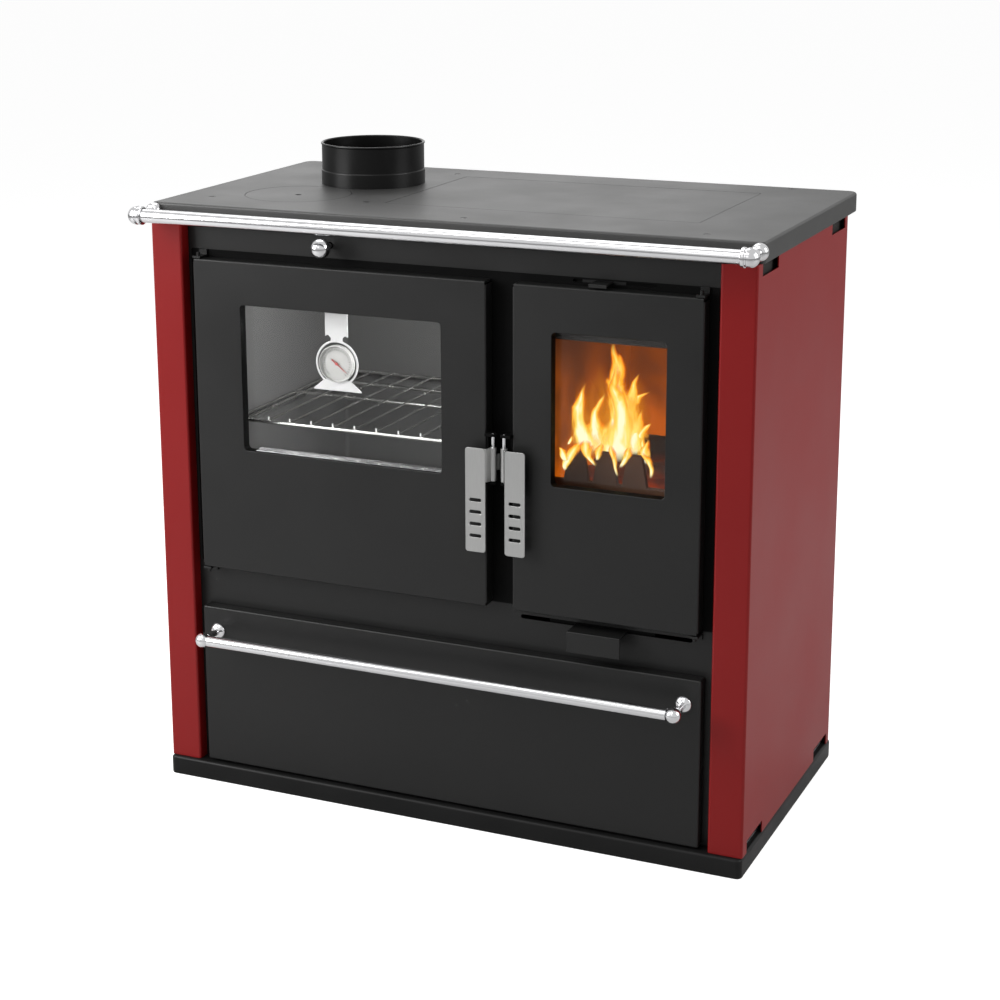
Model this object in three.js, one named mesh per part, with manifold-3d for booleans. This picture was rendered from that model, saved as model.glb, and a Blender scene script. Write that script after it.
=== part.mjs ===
// A wood cookstove: hob over an oven and a firebox, with a wood drawer below.
// Millimetres, +Z up. The origin is on the floor at the middle of the base, the front faces -Y,
// and the viewer's right is +X. Every piece is a named mesh; each moving assembly is one group.
import * as THREE from "three";
import { mergeVertices } from "three/addons/utils/BufferGeometryUtils.js";
import Module from "manifold-3d";

// ---------------------------------------------------------------- driving dimensions

// Clearance between pieces that touch, and steps of a rounded corner.
const GAP = 0.3;
const CORNER_STEPS = 2;

// Base plinth: a pan with a broad rim and a flat floor.
const BASE_WIDTH = 876;
const BASE_DEPTH = 452;
const BASE_HEIGHT = 28;
const BASE_FLOOR = 3;
const BASE_RIM = 32;
const BASE_CORNER = 8;
const BASE_ROUNDING = 3;

// Body between base and hob.
const BODY_WIDTH = 875.5;
const BODY_DEPTH = 435.6;
const BODY_BEHIND_BASE_FRONT = 6;
const SHEET = 2;

// Red side panels: front strip, bend and the cut-outs in their upper and lower edges.
const STRIP_WIDTH = 48.5;
const STRIP_BEND = 3;
const BACK_FLANGE = 22;
const NOTCH_NEAR = 130;
const NOTCH_FAR = 200;
const NOTCH_HEIGHT = 17.5;

// Front panel.
const PANEL_SETBACK = 19;
const PANEL_THICKNESS = 2.5;

// Inner walls stand this far inside the side panels.
const INNER_WALL_INSET = 8.5;

// Hob.
const HOB_TOP = 850;
const HOB_WIDTH = 885;
const HOB_DEPTH = 462;
const HOB_HEIGHT = 27;
const HOB_SETBACK = 11;
const HOB_PLATE = 12;
const HOB_SKIRT = 5;
const HOB_ROUNDING = 3;
const HOB_FRONT_CORNER = 5;
const HOB_BACK_CORNER = 16;

// Round lid and rectangular cooking plate, each in a rebate of the hob.
const LID_THICKNESS = 6;
const LID_LEDGE = 8;
const LID_CLEARANCE = 0.8;
const ROUND_LID_X = -286;
const ROUND_LID_Y = -68;
const ROUND_LID_RADIUS = 75.5;
const DIMPLE_X = 4;
const DIMPLE_Y = -7;
const DIMPLE_RADIUS = 4.5;
const DIMPLE_DEPTH = 3.5;
const COOK_PLATE_LEFT = -134;
const COOK_PLATE_RIGHT = 320.5;
const COOK_PLATE_FRONT = -97;
const COOK_PLATE_BACK = 178;
const COOK_PLATE_CORNER = 3;

// Flue collar.
const FLUE_X = -239;
const FLUE_Y = 77;
const FLUE_RADIUS = 75;
const FLUE_WALL = 2.5;
const FLUE_HEIGHT = 60;
const FLUE_BAND_HEIGHT = 20;
const FLUE_BAND_STEP = 1;
const FLUE_RIM_ROLL = 1.2;
const FLUE_SIDES = 48;

// Towel rail in front of the hob.
const TOP_RAIL_RADIUS = 9.5;
const TOP_RAIL_STANDOFF = 46;
const TOP_RAIL_BELOW_HOB_TOP = 12;
const TOP_RAIL_END_X = 436.4;
const TOP_FITTING_RADIUS = 13;
const TOP_FITTING_INNER_LENGTH = 10;
const TOP_FITTING_GROOVE = 1.5;
const TOP_POST_RADIUS = 6.5;
const TOP_BOSS_RADIUS = 11.5;
const TOP_BOSS_DEPTH = 10;
const RAIL_WALL = 1.5;

// Doors: outlines on the front, shared depth and build.
const DOOR_TOP = 777;
const DOOR_BOTTOM = 330;
const DOOR_DEPTH = 20;
const DOOR_PROUD = 3;
const DOOR_CORNER = 4;
const DOOR_ROUNDING = 1.5;
const DOOR_RELIEF = 5;
const DOOR_SHEET = 2;
const OVEN_DOOR_LEFT = -370.5;
const OVEN_DOOR_RIGHT = 72.5;
const FIRE_DOOR_LEFT = 110;
const FIRE_DOOR_RIGHT = 371;
const WINDOW_TOP = 716.5;
const WINDOW_BOTTOM = 509.5;
const WINDOW_CORNER = 6;
const OVEN_WINDOW_LEFT = -297.4;
const OVEN_WINDOW_RIGHT = 6.8;
const FIRE_WINDOW_LEFT = 165;
const FIRE_WINDOW_RIGHT = 322;
const GLASS_THICKNESS = 4;
const GLASS_LAP = 12;
const INNER_WINDOW_MARGIN = 3;
const SEAL_INSET = 15;
const SEAL_WIDTH = 9;
const SEAL_CORNER = 18;
const PLATEAU_CORNER = 12;
const SEAL_DEPTH = 8.6;

// Door hinges: a pin in a bracket above and below each door's outer corner.
const HINGE_INSET = 6;
const HINGE_BEHIND_FACE = 6;
const HINGE_PIN_RADIUS = 2.5;
const HINGE_PIN_REACH = 10;
const HINGE_PIN_HEAD = 5;
const HINGE_BRACKET_THICKNESS = 3;
const HINGE_BRACKET_WIDTH = 12;
const HINGE_FOOT_HEIGHT = 10;
const HINGE_CLEARANCE = 0.4;

// Door handles: a bent plate on a vertical pin beside the door's free edge.
const HANDLE_WIDTH = 29;
const HANDLE_HEIGHT = 144;
const HANDLE_THICKNESS = 2;
const HANDLE_CORNER = 4;
const HANDLE_TOP = 555;
const HANDLE_STANDOFF = 15;
const HANDLE_WEB_HEIGHT = 46;
const HANDLE_PIN_OUTSIDE_DOOR = 10.9;
const HANDLE_PIN_AHEAD = 1.6;
const HANDLE_PIN_RADIUS = 2.4;
const HANDLE_BARREL_RADIUS = 4.8;
const HANDLE_PLATE_FROM_PIN = 6;
const HANDLE_RUNNING_GAP = 0.3;
const HANDLE_PIN_SHOWING = 15;
const HANDLE_SLOT_COUNT = 4;
const HANDLE_SLOT_WIDTH = 17;
const HANDLE_SLOT_HEIGHT = 4.8;
const HANDLE_SLOT_PITCH = 16.6;
const HANDLE_FIRST_SLOT = 71.6;
const LUG_THICKNESS = 4;
const LUG_RADIUS = 5;
const BRACKET_PLATE = 2.5;
const BRACKET_DEPTH = 5.5;
const TONGUE_THICKNESS = 3;
const TONGUE_REACH = 15;
const TONGUE_HOOK = 3.2;
const TONGUE_HEIGHT = 22;
const KEEPER_POST = 2.5;
const KEEPER_HEIGHT = 34;
const KEEPER_LIP = 2.5;
const KEEPER_BASE_WIDTH = 24;
const KEEPER_SIDE_GAP = 0.6;

// Drawer.
const DRAWER_HALF_WIDTH = 376.2;
const DRAWER_TOP = 268;
const DRAWER_BOTTOM = 31;
const DRAWER_FRONT_BEHIND_STRIP = 1;
const DRAWER_FRONT_DEPTH = 16;
const DRAWER_CORNER = 3;
const DRAWER_OPENING_HALF_WIDTH = 350;
const DRAWER_OPENING_TOP = 275;
const DRAWER_BOX_HALF_WIDTH = 338;
const DRAWER_BOX_HEIGHT = 186;
const DRAWER_BOX_BACK = 188;
const DRAWER_SHEET = 1.5;
const DRAWER_RAIL_RADIUS = 8;
const DRAWER_RAIL_Z = 232.5;
const DRAWER_RAIL_STANDOFF = 42.5;
const DRAWER_RAIL_END_X = 352.5;
const DRAWER_BALL_RADIUS = 10.8;
const DRAWER_DOME_RADIUS = 11.5;
const DRAWER_DOME_HEIGHT = 5;
const DRAWER_STEM_RADIUS = 5;
const RUNNER_FOOT = 24;
const RUNNER_LEDGE = 20;
const RUNNER_LEDGE_HEIGHT = 10;
const RUNNER_GUIDE_HEIGHT = 30;
const RUNNER_SIDE_GAP = 2.5;

// Damper: knob and rod through the front panel, flap behind a divider under the hob.
const DAMPER_X = -167;
const DAMPER_Z = 805;
const DAMPER_KNOB_RADIUS = 13.5;
const DAMPER_KNOB_AHEAD = 27;
const DAMPER_ROD_RADIUS = 4;
const DAMPER_HOLE_RADIUS = 5;
const DAMPER_TRAVEL = 50;
const DIVIDER_Y = -8;
const DIVIDER_THICKNESS = 3;
const DIVIDER_HALF_WIDTH = 110;
const FLAP_HALF_WIDTH = 60;
const FLAP_HALF_HEIGHT = 24;
const FLAP_LAP = 6;
const FLAP_THICKNESS = 3;

// Lower air lever in its slot, and the upper one above the fire door.
const AIR_SLOT_LEFT = 113.5;
const AIR_SLOT_RIGHT = 357;
const AIR_SLOT_BOTTOM = 312.4;
const AIR_SLOT_HEIGHT = 6;
const AIR_TAB_LEFT = 192;
const AIR_TAB_WIDTH = 75;
const AIR_TAB_HEIGHT = 29;
const AIR_TAB_REACH = 31.7;
const AIR_TAB_THICKNESS = 2.2;
const AIR_TAB_LIFT = 0.5;
const AIR_SHUTTER_WIDTH = 150;
const AIR_SHUTTER_HEIGHT = 34;
const UPPER_SLOT_LEFT = 186;
const UPPER_SLOT_RIGHT = 300;
const UPPER_SLOT_BOTTOM = 781;
const UPPER_SLOT_HEIGHT = 4.5;
const UPPER_TAB_LEFT = 215.5;
const UPPER_TAB_WIDTH = 24.5;
const UPPER_TAB_REACH = 22;
const UPPER_TAB_THICKNESS = 2.5;
const UPPER_TAB_LIP = 4.6;
const UPPER_SHUTTER_WIDTH = 60;
const UPPER_SHUTTER_HEIGHT = 20;

// Oven liner and rack.
const LINER_INSET = 27;
const LINER_SHEET = 2;
const LINER_FLANGE = 12;
const OVEN_BACK = 175;
const RACK_Z = 540;
const RACK_LEDGE_WIDTH = 12;
const RACK_LEDGE_THICKNESS = 3;
const RACK_SIDE_GAP = 3;
const RACK_FRONT = -172;
const RACK_BACK = 160;
const RACK_FRAME_RADIUS = 3;
const RACK_SIDE_RADIUS = 2.6;
const RACK_WIRE_RADIUS = 1.7;
const RACK_WIRE_LIFT = 2.3;
const RACK_WIRE_PITCH = 34;
const RACK_POST_RADIUS = 2;
const RACK_POST_HEIGHT = 7;
const RACK_CROSS_BARS = [0, 85];

// Oven thermometer hung inside the oven door's glass.
const DIAL_X = -162;
const DIAL_Z = 640.5;
const DIAL_PLATE_Y = -196;
const DIAL_PLATE_THICKNESS = 1.5;
const DIAL_RING_RADIUS = 32.5;
const DIAL_CASE_RADIUS = 26;
const DIAL_CASE_DEPTH = 8.5;
const DIAL_RIM = 3;
const DIAL_RIM_DEPTH = 1.6;
const DIAL_STRAP_HALF_WIDTH = 17.5;
const DIAL_NECK_HALF_WIDTH = 9;
const DIAL_STRAP_BOTTOM = 38;
const DIAL_HOOK_HEIGHT = 12;
const DIAL_FOOT_HALF_WIDTH = 36.5;
const DIAL_FOOT_TOP_HALF_WIDTH = 19.5;
const DIAL_FOOT_BOTTOM = -38;
const DIAL_FOOT_TOP = -25;
const NEEDLE_LENGTH = 19;
const NEEDLE_TAIL = 9;
const NEEDLE_HALF_WIDTH = 1;
const NEEDLE_HUB_RADIUS = 2.4;
const NEEDLE_THICKNESS = 0.8;
const NEEDLE_ANGLE = -38;

// Firebox: steel shell, refractory linings, grate, log guard and ash pan.
const FIREBOX_WALL = 3;
const FIREBOX_FLOOR = 345;
const FIREBOX_TOP = 800;
const FIREBOX_BACK = 185;
const BRICK_THICKNESS = 25;
const BRICK_TOP = 745;
const GRATE_Z = 440;
const GRATE_THICKNESS = 15;
const GRATE_LEDGE = 14;
const GRATE_LEDGE_THICKNESS = 5;
const GRATE_SLOT_COUNT = 9;
const GRATE_SLOT_WIDTH = 9;
const GRATE_SLOT_PITCH = 19;
const GRATE_SLOT_MARGIN = 55;
const GUARD_THICKNESS = 8;
const GUARD_BEHIND_PANEL = 27;
const GUARD_BASE_HEIGHT = 52;
const GUARD_TOOTH_HEIGHT = 42.5;
const GUARD_TOOTH_COUNT = 3;
const GUARD_TOOTH_PITCH = 41;
const GUARD_TOOTH_TOP = 20.5;
const GUARD_TOOTH_FOOT = 35.5;
const GUARD_CENTRE = 222.4;
const ASH_PAN_HEIGHT = 66;
const ASH_PAN_SIDE_GAP = 12;
const ASH_PAN_SHEET = 1.5;
const ASH_PAN_HANDLE = 70;

// ---------------------------------------------------------------- derived planes

const BASE_FRONT_Y = -BASE_DEPTH / 2;
const FRONT_Y = BASE_FRONT_Y + BODY_BEHIND_BASE_FRONT;
const BACK_Y = FRONT_Y + BODY_DEPTH;
const SIDE_X = BODY_WIDTH / 2;
const BODY_BOTTOM = BASE_HEIGHT + GAP;
const HOB_UNDERSIDE = HOB_TOP - HOB_HEIGHT;
const BODY_TOP = HOB_UNDERSIDE - GAP;
const PANEL_Y = FRONT_Y + PANEL_SETBACK;
const PANEL_BACK_Y = PANEL_Y + PANEL_THICKNESS;
const PANEL_HALF_WIDTH = SIDE_X - SHEET - GAP;
const BACK_PANEL_BACK_Y = BACK_Y - SHEET - GAP;
const BACK_PANEL_Y = BACK_PANEL_BACK_Y - SHEET;
const DECK_Z = BASE_HEIGHT + GAP;
const DECK_TOP = DECK_Z + SHEET;
const HOB_FRONT_Y = FRONT_Y + HOB_SETBACK;
const HOB_BACK_Y = HOB_FRONT_Y + HOB_DEPTH;
const DOOR_Y = FRONT_Y - DOOR_PROUD;
const DOOR_BACK_Y = DOOR_Y + DOOR_DEPTH;
const HINGE_Y = DOOR_Y + HINGE_BEHIND_FACE;
const SEAL_BACK_Y = PANEL_Y - GAP;
const CHANNEL_Y = SEAL_BACK_Y - SEAL_DEPTH - GAP;
const PLATEAU_BACK_Y = PANEL_Y - 2 * GAP;
const PLATEAU_Y = PLATEAU_BACK_Y - DOOR_SHEET;
const GLASS_BACK_Y = PLATEAU_Y - GAP;
const GLASS_Y = GLASS_BACK_Y - GLASS_THICKNESS;
const REVEAL_BACK_Y = GLASS_Y - GAP;

const OVEN_DOOR = {
  name: "oven",
  left: OVEN_DOOR_LEFT,
  right: OVEN_DOOR_RIGHT,
  hingeSide: -1,
  windowLeft: OVEN_WINDOW_LEFT,
  windowRight: OVEN_WINDOW_RIGHT,
};
const FIRE_DOOR = {
  name: "fire",
  left: FIRE_DOOR_LEFT,
  right: FIRE_DOOR_RIGHT,
  hingeSide: 1,
  windowLeft: FIRE_WINDOW_LEFT,
  windowRight: FIRE_WINDOW_RIGHT,
};

// ---------------------------------------------------------------- solids and shapes

const wasm = await Module();
wasm.setup();

/** Makes a manifold-3d solid of a closed geometry. */
function toSolid(geometry) {
  const bare = geometry.clone();
  bare.deleteAttribute("normal");
  bare.deleteAttribute("uv");
  const merged = mergeVertices(bare, 1e-4);
  return new wasm.Manifold(
    new wasm.Mesh({
      numProp: 3,
      vertProperties: merged.attributes.position.array,
      triVerts: new Uint32Array(merged.index.array),
    }),
  );
}

/** Makes a three.js geometry of a manifold-3d solid. */
function toGeometry(solid) {
  const mesh = solid.getMesh();
  const geometry = new THREE.BufferGeometry();
  geometry.setAttribute("position", new THREE.BufferAttribute(mesh.vertProperties, 3));
  geometry.setIndex(new THREE.BufferAttribute(mesh.triVerts, 1));
  geometry.computeVertexNormals();
  return geometry;
}

/** Joins geometries into one body. */
function join(...geometries) {
  return toGeometry(geometries.map(toSolid).reduce((sum, next) => sum.add(next)));
}

/** Cuts the tools out of a geometry. */
function cut(geometry, ...tools) {
  return toGeometry(tools.map(toSolid).reduce((rest, tool) => rest.subtract(tool), toSolid(geometry)));
}

/** A straight-sided outline through the points. */
function polygon(points) {
  return new THREE.Shape(points.map(([x, y]) => new THREE.Vector2(x, y)));
}

/** A rectangle whose four corners are round. */
function roundedRectangle(x0, x1, y0, y1, radius) {
  return cornerRectangle(x0, x1, y0, y1, [radius, radius, radius, radius]);
}

/** A rectangle with its own corner radii, from the lower left corner and on anticlockwise. */
function cornerRectangle(x0, x1, y0, y1, [lowLeft, lowRight, highRight, highLeft]) {
  const quarter = Math.PI / 2;
  const shape = new THREE.Shape();
  shape.moveTo(x0 + lowLeft, y0);
  shape.lineTo(x1 - lowRight, y0);
  shape.absarc(x1 - lowRight, y0 + lowRight, lowRight, -quarter, 0, false);
  shape.lineTo(x1, y1 - highRight);
  shape.absarc(x1 - highRight, y1 - highRight, highRight, 0, quarter, false);
  shape.lineTo(x0 + highLeft, y1);
  shape.absarc(x0 + highLeft, y1 - highLeft, highLeft, quarter, 2 * quarter, false);
  shape.lineTo(x0, y0 + lowLeft);
  shape.absarc(x0 + lowLeft, y0 + lowLeft, lowLeft, 2 * quarter, 3 * quarter, false);
  return shape;
}

/** A full circle. */
function circle(x, y, radius) {
  return new THREE.Shape().absarc(x, y, radius, 0, 2 * Math.PI, false);
}

/** Extrudes an outline in X and Y from z0 up to z1. */
function extrudeZ(shape, z0, z1, steps = CORNER_STEPS) {
  const settings = { depth: z1 - z0, bevelEnabled: false, curveSegments: steps };
  return new THREE.ExtrudeGeometry(shape, settings).translate(0, 0, z0);
}

/** Extrudes an outline in X and Z from y0 back to y1. */
function extrudeY(shape, y0, y1, steps = CORNER_STEPS) {
  return extrudeZ(shape, 0, y1 - y0, steps)
    .rotateX(Math.PI / 2)
    .translate(0, y1, 0);
}

/** Extrudes an outline in Y and Z from x0 to x1. */
function extrudeX(shape, x0, x1, steps = CORNER_STEPS) {
  const turn = new THREE.Matrix4().makeBasis(
    new THREE.Vector3(0, 1, 0),
    new THREE.Vector3(0, 0, 1),
    new THREE.Vector3(1, 0, 0),
  );
  return extrudeZ(shape, x0, x1, steps).applyMatrix4(turn);
}

/** Extrudes an outline made by outline(inset) with its outer edges rounded at both ends. */
function roundedSlab(outline, z0, z1, rounding) {
  const settings = {
    depth: z1 - z0 - 2 * rounding,
    bevelEnabled: true,
    bevelThickness: rounding,
    bevelSize: rounding,
    bevelSegments: 2,
    curveSegments: CORNER_STEPS,
  };
  return new THREE.ExtrudeGeometry(outline(rounding), settings).translate(0, 0, z0 + rounding);
}

/** A box between two corners. */
function box(x0, x1, y0, y1, z0, z1) {
  const geometry = new THREE.BoxGeometry(x1 - x0, y1 - y0, z1 - z0);
  return geometry.translate((x0 + x1) / 2, (y0 + y1) / 2, (z0 + z1) / 2);
}

/** A round bar along X, Y or Z, centred on the point. */
function bar(axis, length, radius, x, y, z, sides = 8) {
  const geometry = new THREE.CylinderGeometry(radius, radius, length, sides);
  if (axis === "x") geometry.rotateZ(Math.PI / 2);
  if (axis === "z") geometry.rotateX(Math.PI / 2);
  return geometry.translate(x, y, z);
}

/** Turns a profile of [radius, height] points about the upright axis. */
function turned(profile, sides) {
  const points = profile.map(([radius, height]) => new THREE.Vector2(radius, height));
  return new THREE.LatheGeometry(points, sides).rotateX(Math.PI / 2);
}

/** Points of an arc in a turned profile, both ends included. */
function arc(centreRadius, centreHeight, radius, fromDegrees, toDegrees, steps) {
  return Array.from({ length: steps + 1 }, (_, i) => {
    const angle = THREE.MathUtils.degToRad(fromDegrees + ((toDegrees - fromDegrees) * i) / steps);
    return [centreRadius + radius * Math.cos(angle), centreHeight + radius * Math.sin(angle)];
  });
}

/** Gives [low, high] of a span taken outward from x on the given side. */
function span(x, side, from, to) {
  const a = x + side * from;
  const b = x + side * to;
  return [Math.min(a, b), Math.max(a, b)];
}

// ---------------------------------------------------------------- materials

/** A standard material with the colour, roughness and metalness of a finish. */
function finish(color, roughness, metalness) {
  return () => new THREE.MeshStandardMaterial({ color, roughness, metalness });
}

const redEnamel = finish(0x7d1c22, 0.35, 0.1);
const blackPaint = finish(0x2b2b2a, 0.55, 0.1);
const hobSteel = finish(0x3a3a3b, 0.42, 0.6);
const chrome = finish(0xd8d8da, 0.12, 1.0);
const brushedSteel = finish(0xa3a3a3, 0.35, 1.0);
const darkIron = finish(0x242322, 0.75, 0.5);
const zincSheet = finish(0x8f9294, 0.5, 0.8);
const ovenSteel = finish(0x6f7070, 0.45, 0.6);
const firebrick = finish(0xb07a4e, 0.95, 0.0);
const sealRope = finish(0x4a4743, 1.0, 0.0);
const paleDial = finish(0xdedcd6, 0.5, 0.0);
const redNeedle = finish(0xb02020, 0.5, 0.0);

/** Clear window glass. */
function windowGlass() {
  const material = finish(0xe8ecec, 0.05, 0.0)();
  material.transparent = true;
  material.opacity = 0.25;
  return material;
}

const stove = new THREE.Group();

/** Adds a named mesh to a group and returns it. */
function add(group, name, geometry, material) {
  const mesh = new THREE.Mesh(geometry, material());
  mesh.name = name;
  group.add(mesh);
  return mesh;
}

/** Adds an empty group for an assembly. */
function assembly(parent = stove) {
  const group = new THREE.Group();
  parent.add(group);
  return group;
}

// ---------------------------------------------------------------- base and body

function buildBase(group) {
  const outline = (inset) =>
    roundedRectangle(
      -BASE_WIDTH / 2 + inset,
      BASE_WIDTH / 2 - inset,
      BASE_FRONT_Y + inset,
      -BASE_FRONT_Y - inset,
      BASE_CORNER - inset,
    );
  const hollow = box(
    -BASE_WIDTH / 2 + BASE_RIM,
    BASE_WIDTH / 2 - BASE_RIM,
    BASE_FRONT_Y + BASE_RIM,
    -BASE_FRONT_Y - BASE_RIM,
    BASE_FLOOR,
    BASE_HEIGHT + 1,
  );
  add(group, "base_plinth", cut(roundedSlab(outline, 0, BASE_HEIGHT, BASE_ROUNDING), hollow), blackPaint);
  const reach = SIDE_X - INNER_WALL_INSET;
  const deck = box(-reach, reach, PANEL_BACK_Y + GAP, BACK_PANEL_Y - GAP, DECK_Z, DECK_TOP);
  add(group, "base_deck", deck, zincSheet);
}

/** Plan of a folded side panel: front strip with its return, outer sheet, back flange. */
function sidePanelPlan(side) {
  const x = (inset) => side * (SIDE_X - inset);
  const inner = STRIP_WIDTH;
  const returnEnd = PANEL_Y - GAP;
  const bend = STRIP_BEND / 2;
  return polygon([
    [x(bend), FRONT_Y],
    [x(0), FRONT_Y + bend],
    [x(0), BACK_Y],
    [x(BACK_FLANGE), BACK_Y],
    [x(BACK_FLANGE), BACK_Y - SHEET],
    [x(SHEET), BACK_Y - SHEET],
    [x(SHEET), FRONT_Y + SHEET],
    [x(inner - SHEET), FRONT_Y + SHEET],
    [x(inner - SHEET), returnEnd],
    [x(inner), returnEnd],
    [x(inner), FRONT_Y + bend],
    [x(inner - bend), FRONT_Y],
  ]);
}

function buildSidePanel(group, name, side) {
  const notches = [];
  for (const towards of [-1, 1]) {
    const [y0, y1] = span(0, towards, NOTCH_NEAR, NOTCH_FAR);
    const [x0, x1] = span(side * SIDE_X, side, -2 * SHEET, SHEET);
    notches.push(box(x0, x1, y0, y1, BODY_BOTTOM - 1, BODY_BOTTOM + NOTCH_HEIGHT));
    notches.push(box(x0, x1, y0, y1, BODY_TOP - NOTCH_HEIGHT, BODY_TOP + 1));
  }
  const folded = extrudeZ(sidePanelPlan(side), BODY_BOTTOM, BODY_TOP);
  add(group, name, cut(folded, ...notches), redEnamel);
}

function buildInnerWall(group, name, side) {
  const [x0, x1] = span(side * (SIDE_X - INNER_WALL_INSET), side, -SHEET, 0);
  const wall = box(x0, x1, PANEL_BACK_Y + GAP, BACK_PANEL_Y - GAP, DECK_TOP + GAP, BODY_TOP);
  add(group, name, wall, darkIron);
}

/** Opening in the front panel behind a door. */
function openingOf(door) {
  return {
    left: door.left + LINER_INSET,
    right: door.right - LINER_INSET,
    bottom: DOOR_BOTTOM + LINER_INSET,
    top: DOOR_TOP - LINER_INSET,
  };
}

function buildPanels(group) {
  const legs = polygon([
    [-PANEL_HALF_WIDTH, BODY_BOTTOM],
    [-DRAWER_OPENING_HALF_WIDTH, BODY_BOTTOM],
    [-DRAWER_OPENING_HALF_WIDTH, DRAWER_OPENING_TOP],
    [DRAWER_OPENING_HALF_WIDTH, DRAWER_OPENING_TOP],
    [DRAWER_OPENING_HALF_WIDTH, BODY_BOTTOM],
    [PANEL_HALF_WIDTH, BODY_BOTTOM],
    [PANEL_HALF_WIDTH, BODY_TOP],
    [-PANEL_HALF_WIDTH, BODY_TOP],
  ]);
  for (const door of [OVEN_DOOR, FIRE_DOOR]) {
    const { left, right, bottom, top } = openingOf(door);
    legs.holes.push(roundedRectangle(left, right, bottom, top, DOOR_CORNER));
  }
  const slot = (left, right, bottom, height) =>
    legs.holes.push(roundedRectangle(left, right, bottom, bottom + height, height / 2 - 0.1));
  slot(AIR_SLOT_LEFT, AIR_SLOT_RIGHT, AIR_SLOT_BOTTOM, AIR_SLOT_HEIGHT);
  slot(UPPER_SLOT_LEFT, UPPER_SLOT_RIGHT, UPPER_SLOT_BOTTOM, UPPER_SLOT_HEIGHT);
  legs.holes.push(circle(DAMPER_X, DAMPER_Z, DAMPER_HOLE_RADIUS));
  add(group, "front_panel", extrudeY(legs, PANEL_Y, PANEL_BACK_Y, 4), blackPaint);
  const back = box(
    -PANEL_HALF_WIDTH,
    PANEL_HALF_WIDTH,
    BACK_PANEL_Y,
    BACK_PANEL_BACK_Y,
    BODY_BOTTOM,
    BODY_TOP,
  );
  add(group, "back_panel", back, blackPaint);
}

// ---------------------------------------------------------------- hob

function buildHob(group) {
  const half = HOB_WIDTH / 2;
  const outline = (inset) =>
    cornerRectangle(
      -half + inset,
      half - inset,
      HOB_FRONT_Y + inset,
      HOB_BACK_Y - inset,
      [HOB_FRONT_CORNER, HOB_FRONT_CORNER, HOB_BACK_CORNER, HOB_BACK_CORNER].map((r) => r - inset),
    );
  const plateBottom = HOB_TOP - HOB_PLATE;
  const rebateZ = HOB_TOP - LID_THICKNESS - GAP;
  const over = HOB_TOP + 1;
  const under = box(
    -half + HOB_SKIRT,
    half - HOB_SKIRT,
    HOB_FRONT_Y + HOB_SKIRT,
    HOB_BACK_Y - HOB_SKIRT,
    HOB_UNDERSIDE - 1,
    plateBottom,
  );
  const plateHole = (grow, z0) =>
    extrudeZ(
      roundedRectangle(
        COOK_PLATE_LEFT - grow,
        COOK_PLATE_RIGHT + grow,
        COOK_PLATE_FRONT - grow,
        COOK_PLATE_BACK + grow,
        COOK_PLATE_CORNER,
      ),
      z0,
      over,
    );
  const roundHole = (x, y, radius, z0) => extrudeZ(circle(x, y, radius), z0, over, FLUE_SIDES / 2);
  const through = HOB_UNDERSIDE - 1;
  const hob = cut(
    roundedSlab(outline, HOB_UNDERSIDE, HOB_TOP, HOB_ROUNDING),
    under,
    plateHole(LID_CLEARANCE, rebateZ),
    plateHole(-LID_LEDGE, through),
    roundHole(ROUND_LID_X, ROUND_LID_Y, ROUND_LID_RADIUS + LID_CLEARANCE, rebateZ),
    roundHole(ROUND_LID_X, ROUND_LID_Y, ROUND_LID_RADIUS - LID_LEDGE, through),
    roundHole(FLUE_X, FLUE_Y, FLUE_RADIUS - FLUE_WALL, through),
  );
  add(group, "hob_plate", hob, hobSteel);
}

function buildRoundLid(group) {
  const disc = extrudeZ(circle(0, 0, ROUND_LID_RADIUS), 0, LID_THICKNESS, FLUE_SIDES / 2);
  const dimple = extrudeZ(
    circle(DIMPLE_X, DIMPLE_Y, DIMPLE_RADIUS),
    LID_THICKNESS - DIMPLE_DEPTH,
    LID_THICKNESS + 1,
    8,
  );
  const lid = add(group, "hob_round_lid", cut(disc, dimple), hobSteel);
  lid.position.set(ROUND_LID_X, ROUND_LID_Y, HOB_TOP - LID_THICKNESS);
}

function buildCookPlate(group) {
  const outline = roundedRectangle(
    COOK_PLATE_LEFT,
    COOK_PLATE_RIGHT,
    COOK_PLATE_FRONT,
    COOK_PLATE_BACK,
    COOK_PLATE_CORNER,
  );
  add(group, "hob_cook_plate", extrudeZ(outline, HOB_TOP - LID_THICKNESS, HOB_TOP), hobSteel);
}

function buildFlueCollar(group) {
  const inner = FLUE_RADIUS - FLUE_WALL;
  const band = FLUE_RADIUS + FLUE_BAND_STEP;
  const roll = FLUE_RIM_ROLL;
  const profile = [
    [inner, 0],
    [band, 0],
    [band, FLUE_BAND_HEIGHT],
    [FLUE_RADIUS, FLUE_BAND_HEIGHT + FLUE_BAND_STEP],
    [FLUE_RADIUS, FLUE_HEIGHT - 3 * roll],
    [FLUE_RADIUS + roll, FLUE_HEIGHT - 2 * roll],
    [FLUE_RADIUS + roll, FLUE_HEIGHT - roll],
    [FLUE_RADIUS, FLUE_HEIGHT],
    [inner, FLUE_HEIGHT],
    [inner, 0],
  ];
  const collar = add(group, "flue_collar", turned(profile, FLUE_SIDES), blackPaint);
  collar.position.set(FLUE_X, FLUE_Y, HOB_TOP + GAP);
}

// ---------------------------------------------------------------- rails

/** A tube along X between two ends. */
function buildRailTube(group, name, halfLength, radius, y, z, sides) {
  const profile = [
    [radius - RAIL_WALL, -halfLength],
    [radius, -halfLength],
    [radius, halfLength],
    [radius - RAIL_WALL, halfLength],
    [radius - RAIL_WALL, -halfLength],
  ];
  const tube = add(group, name, turned(profile, sides), chrome);
  tube.rotation.y = Math.PI / 2;
  tube.position.set(0, y, z);
}

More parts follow.
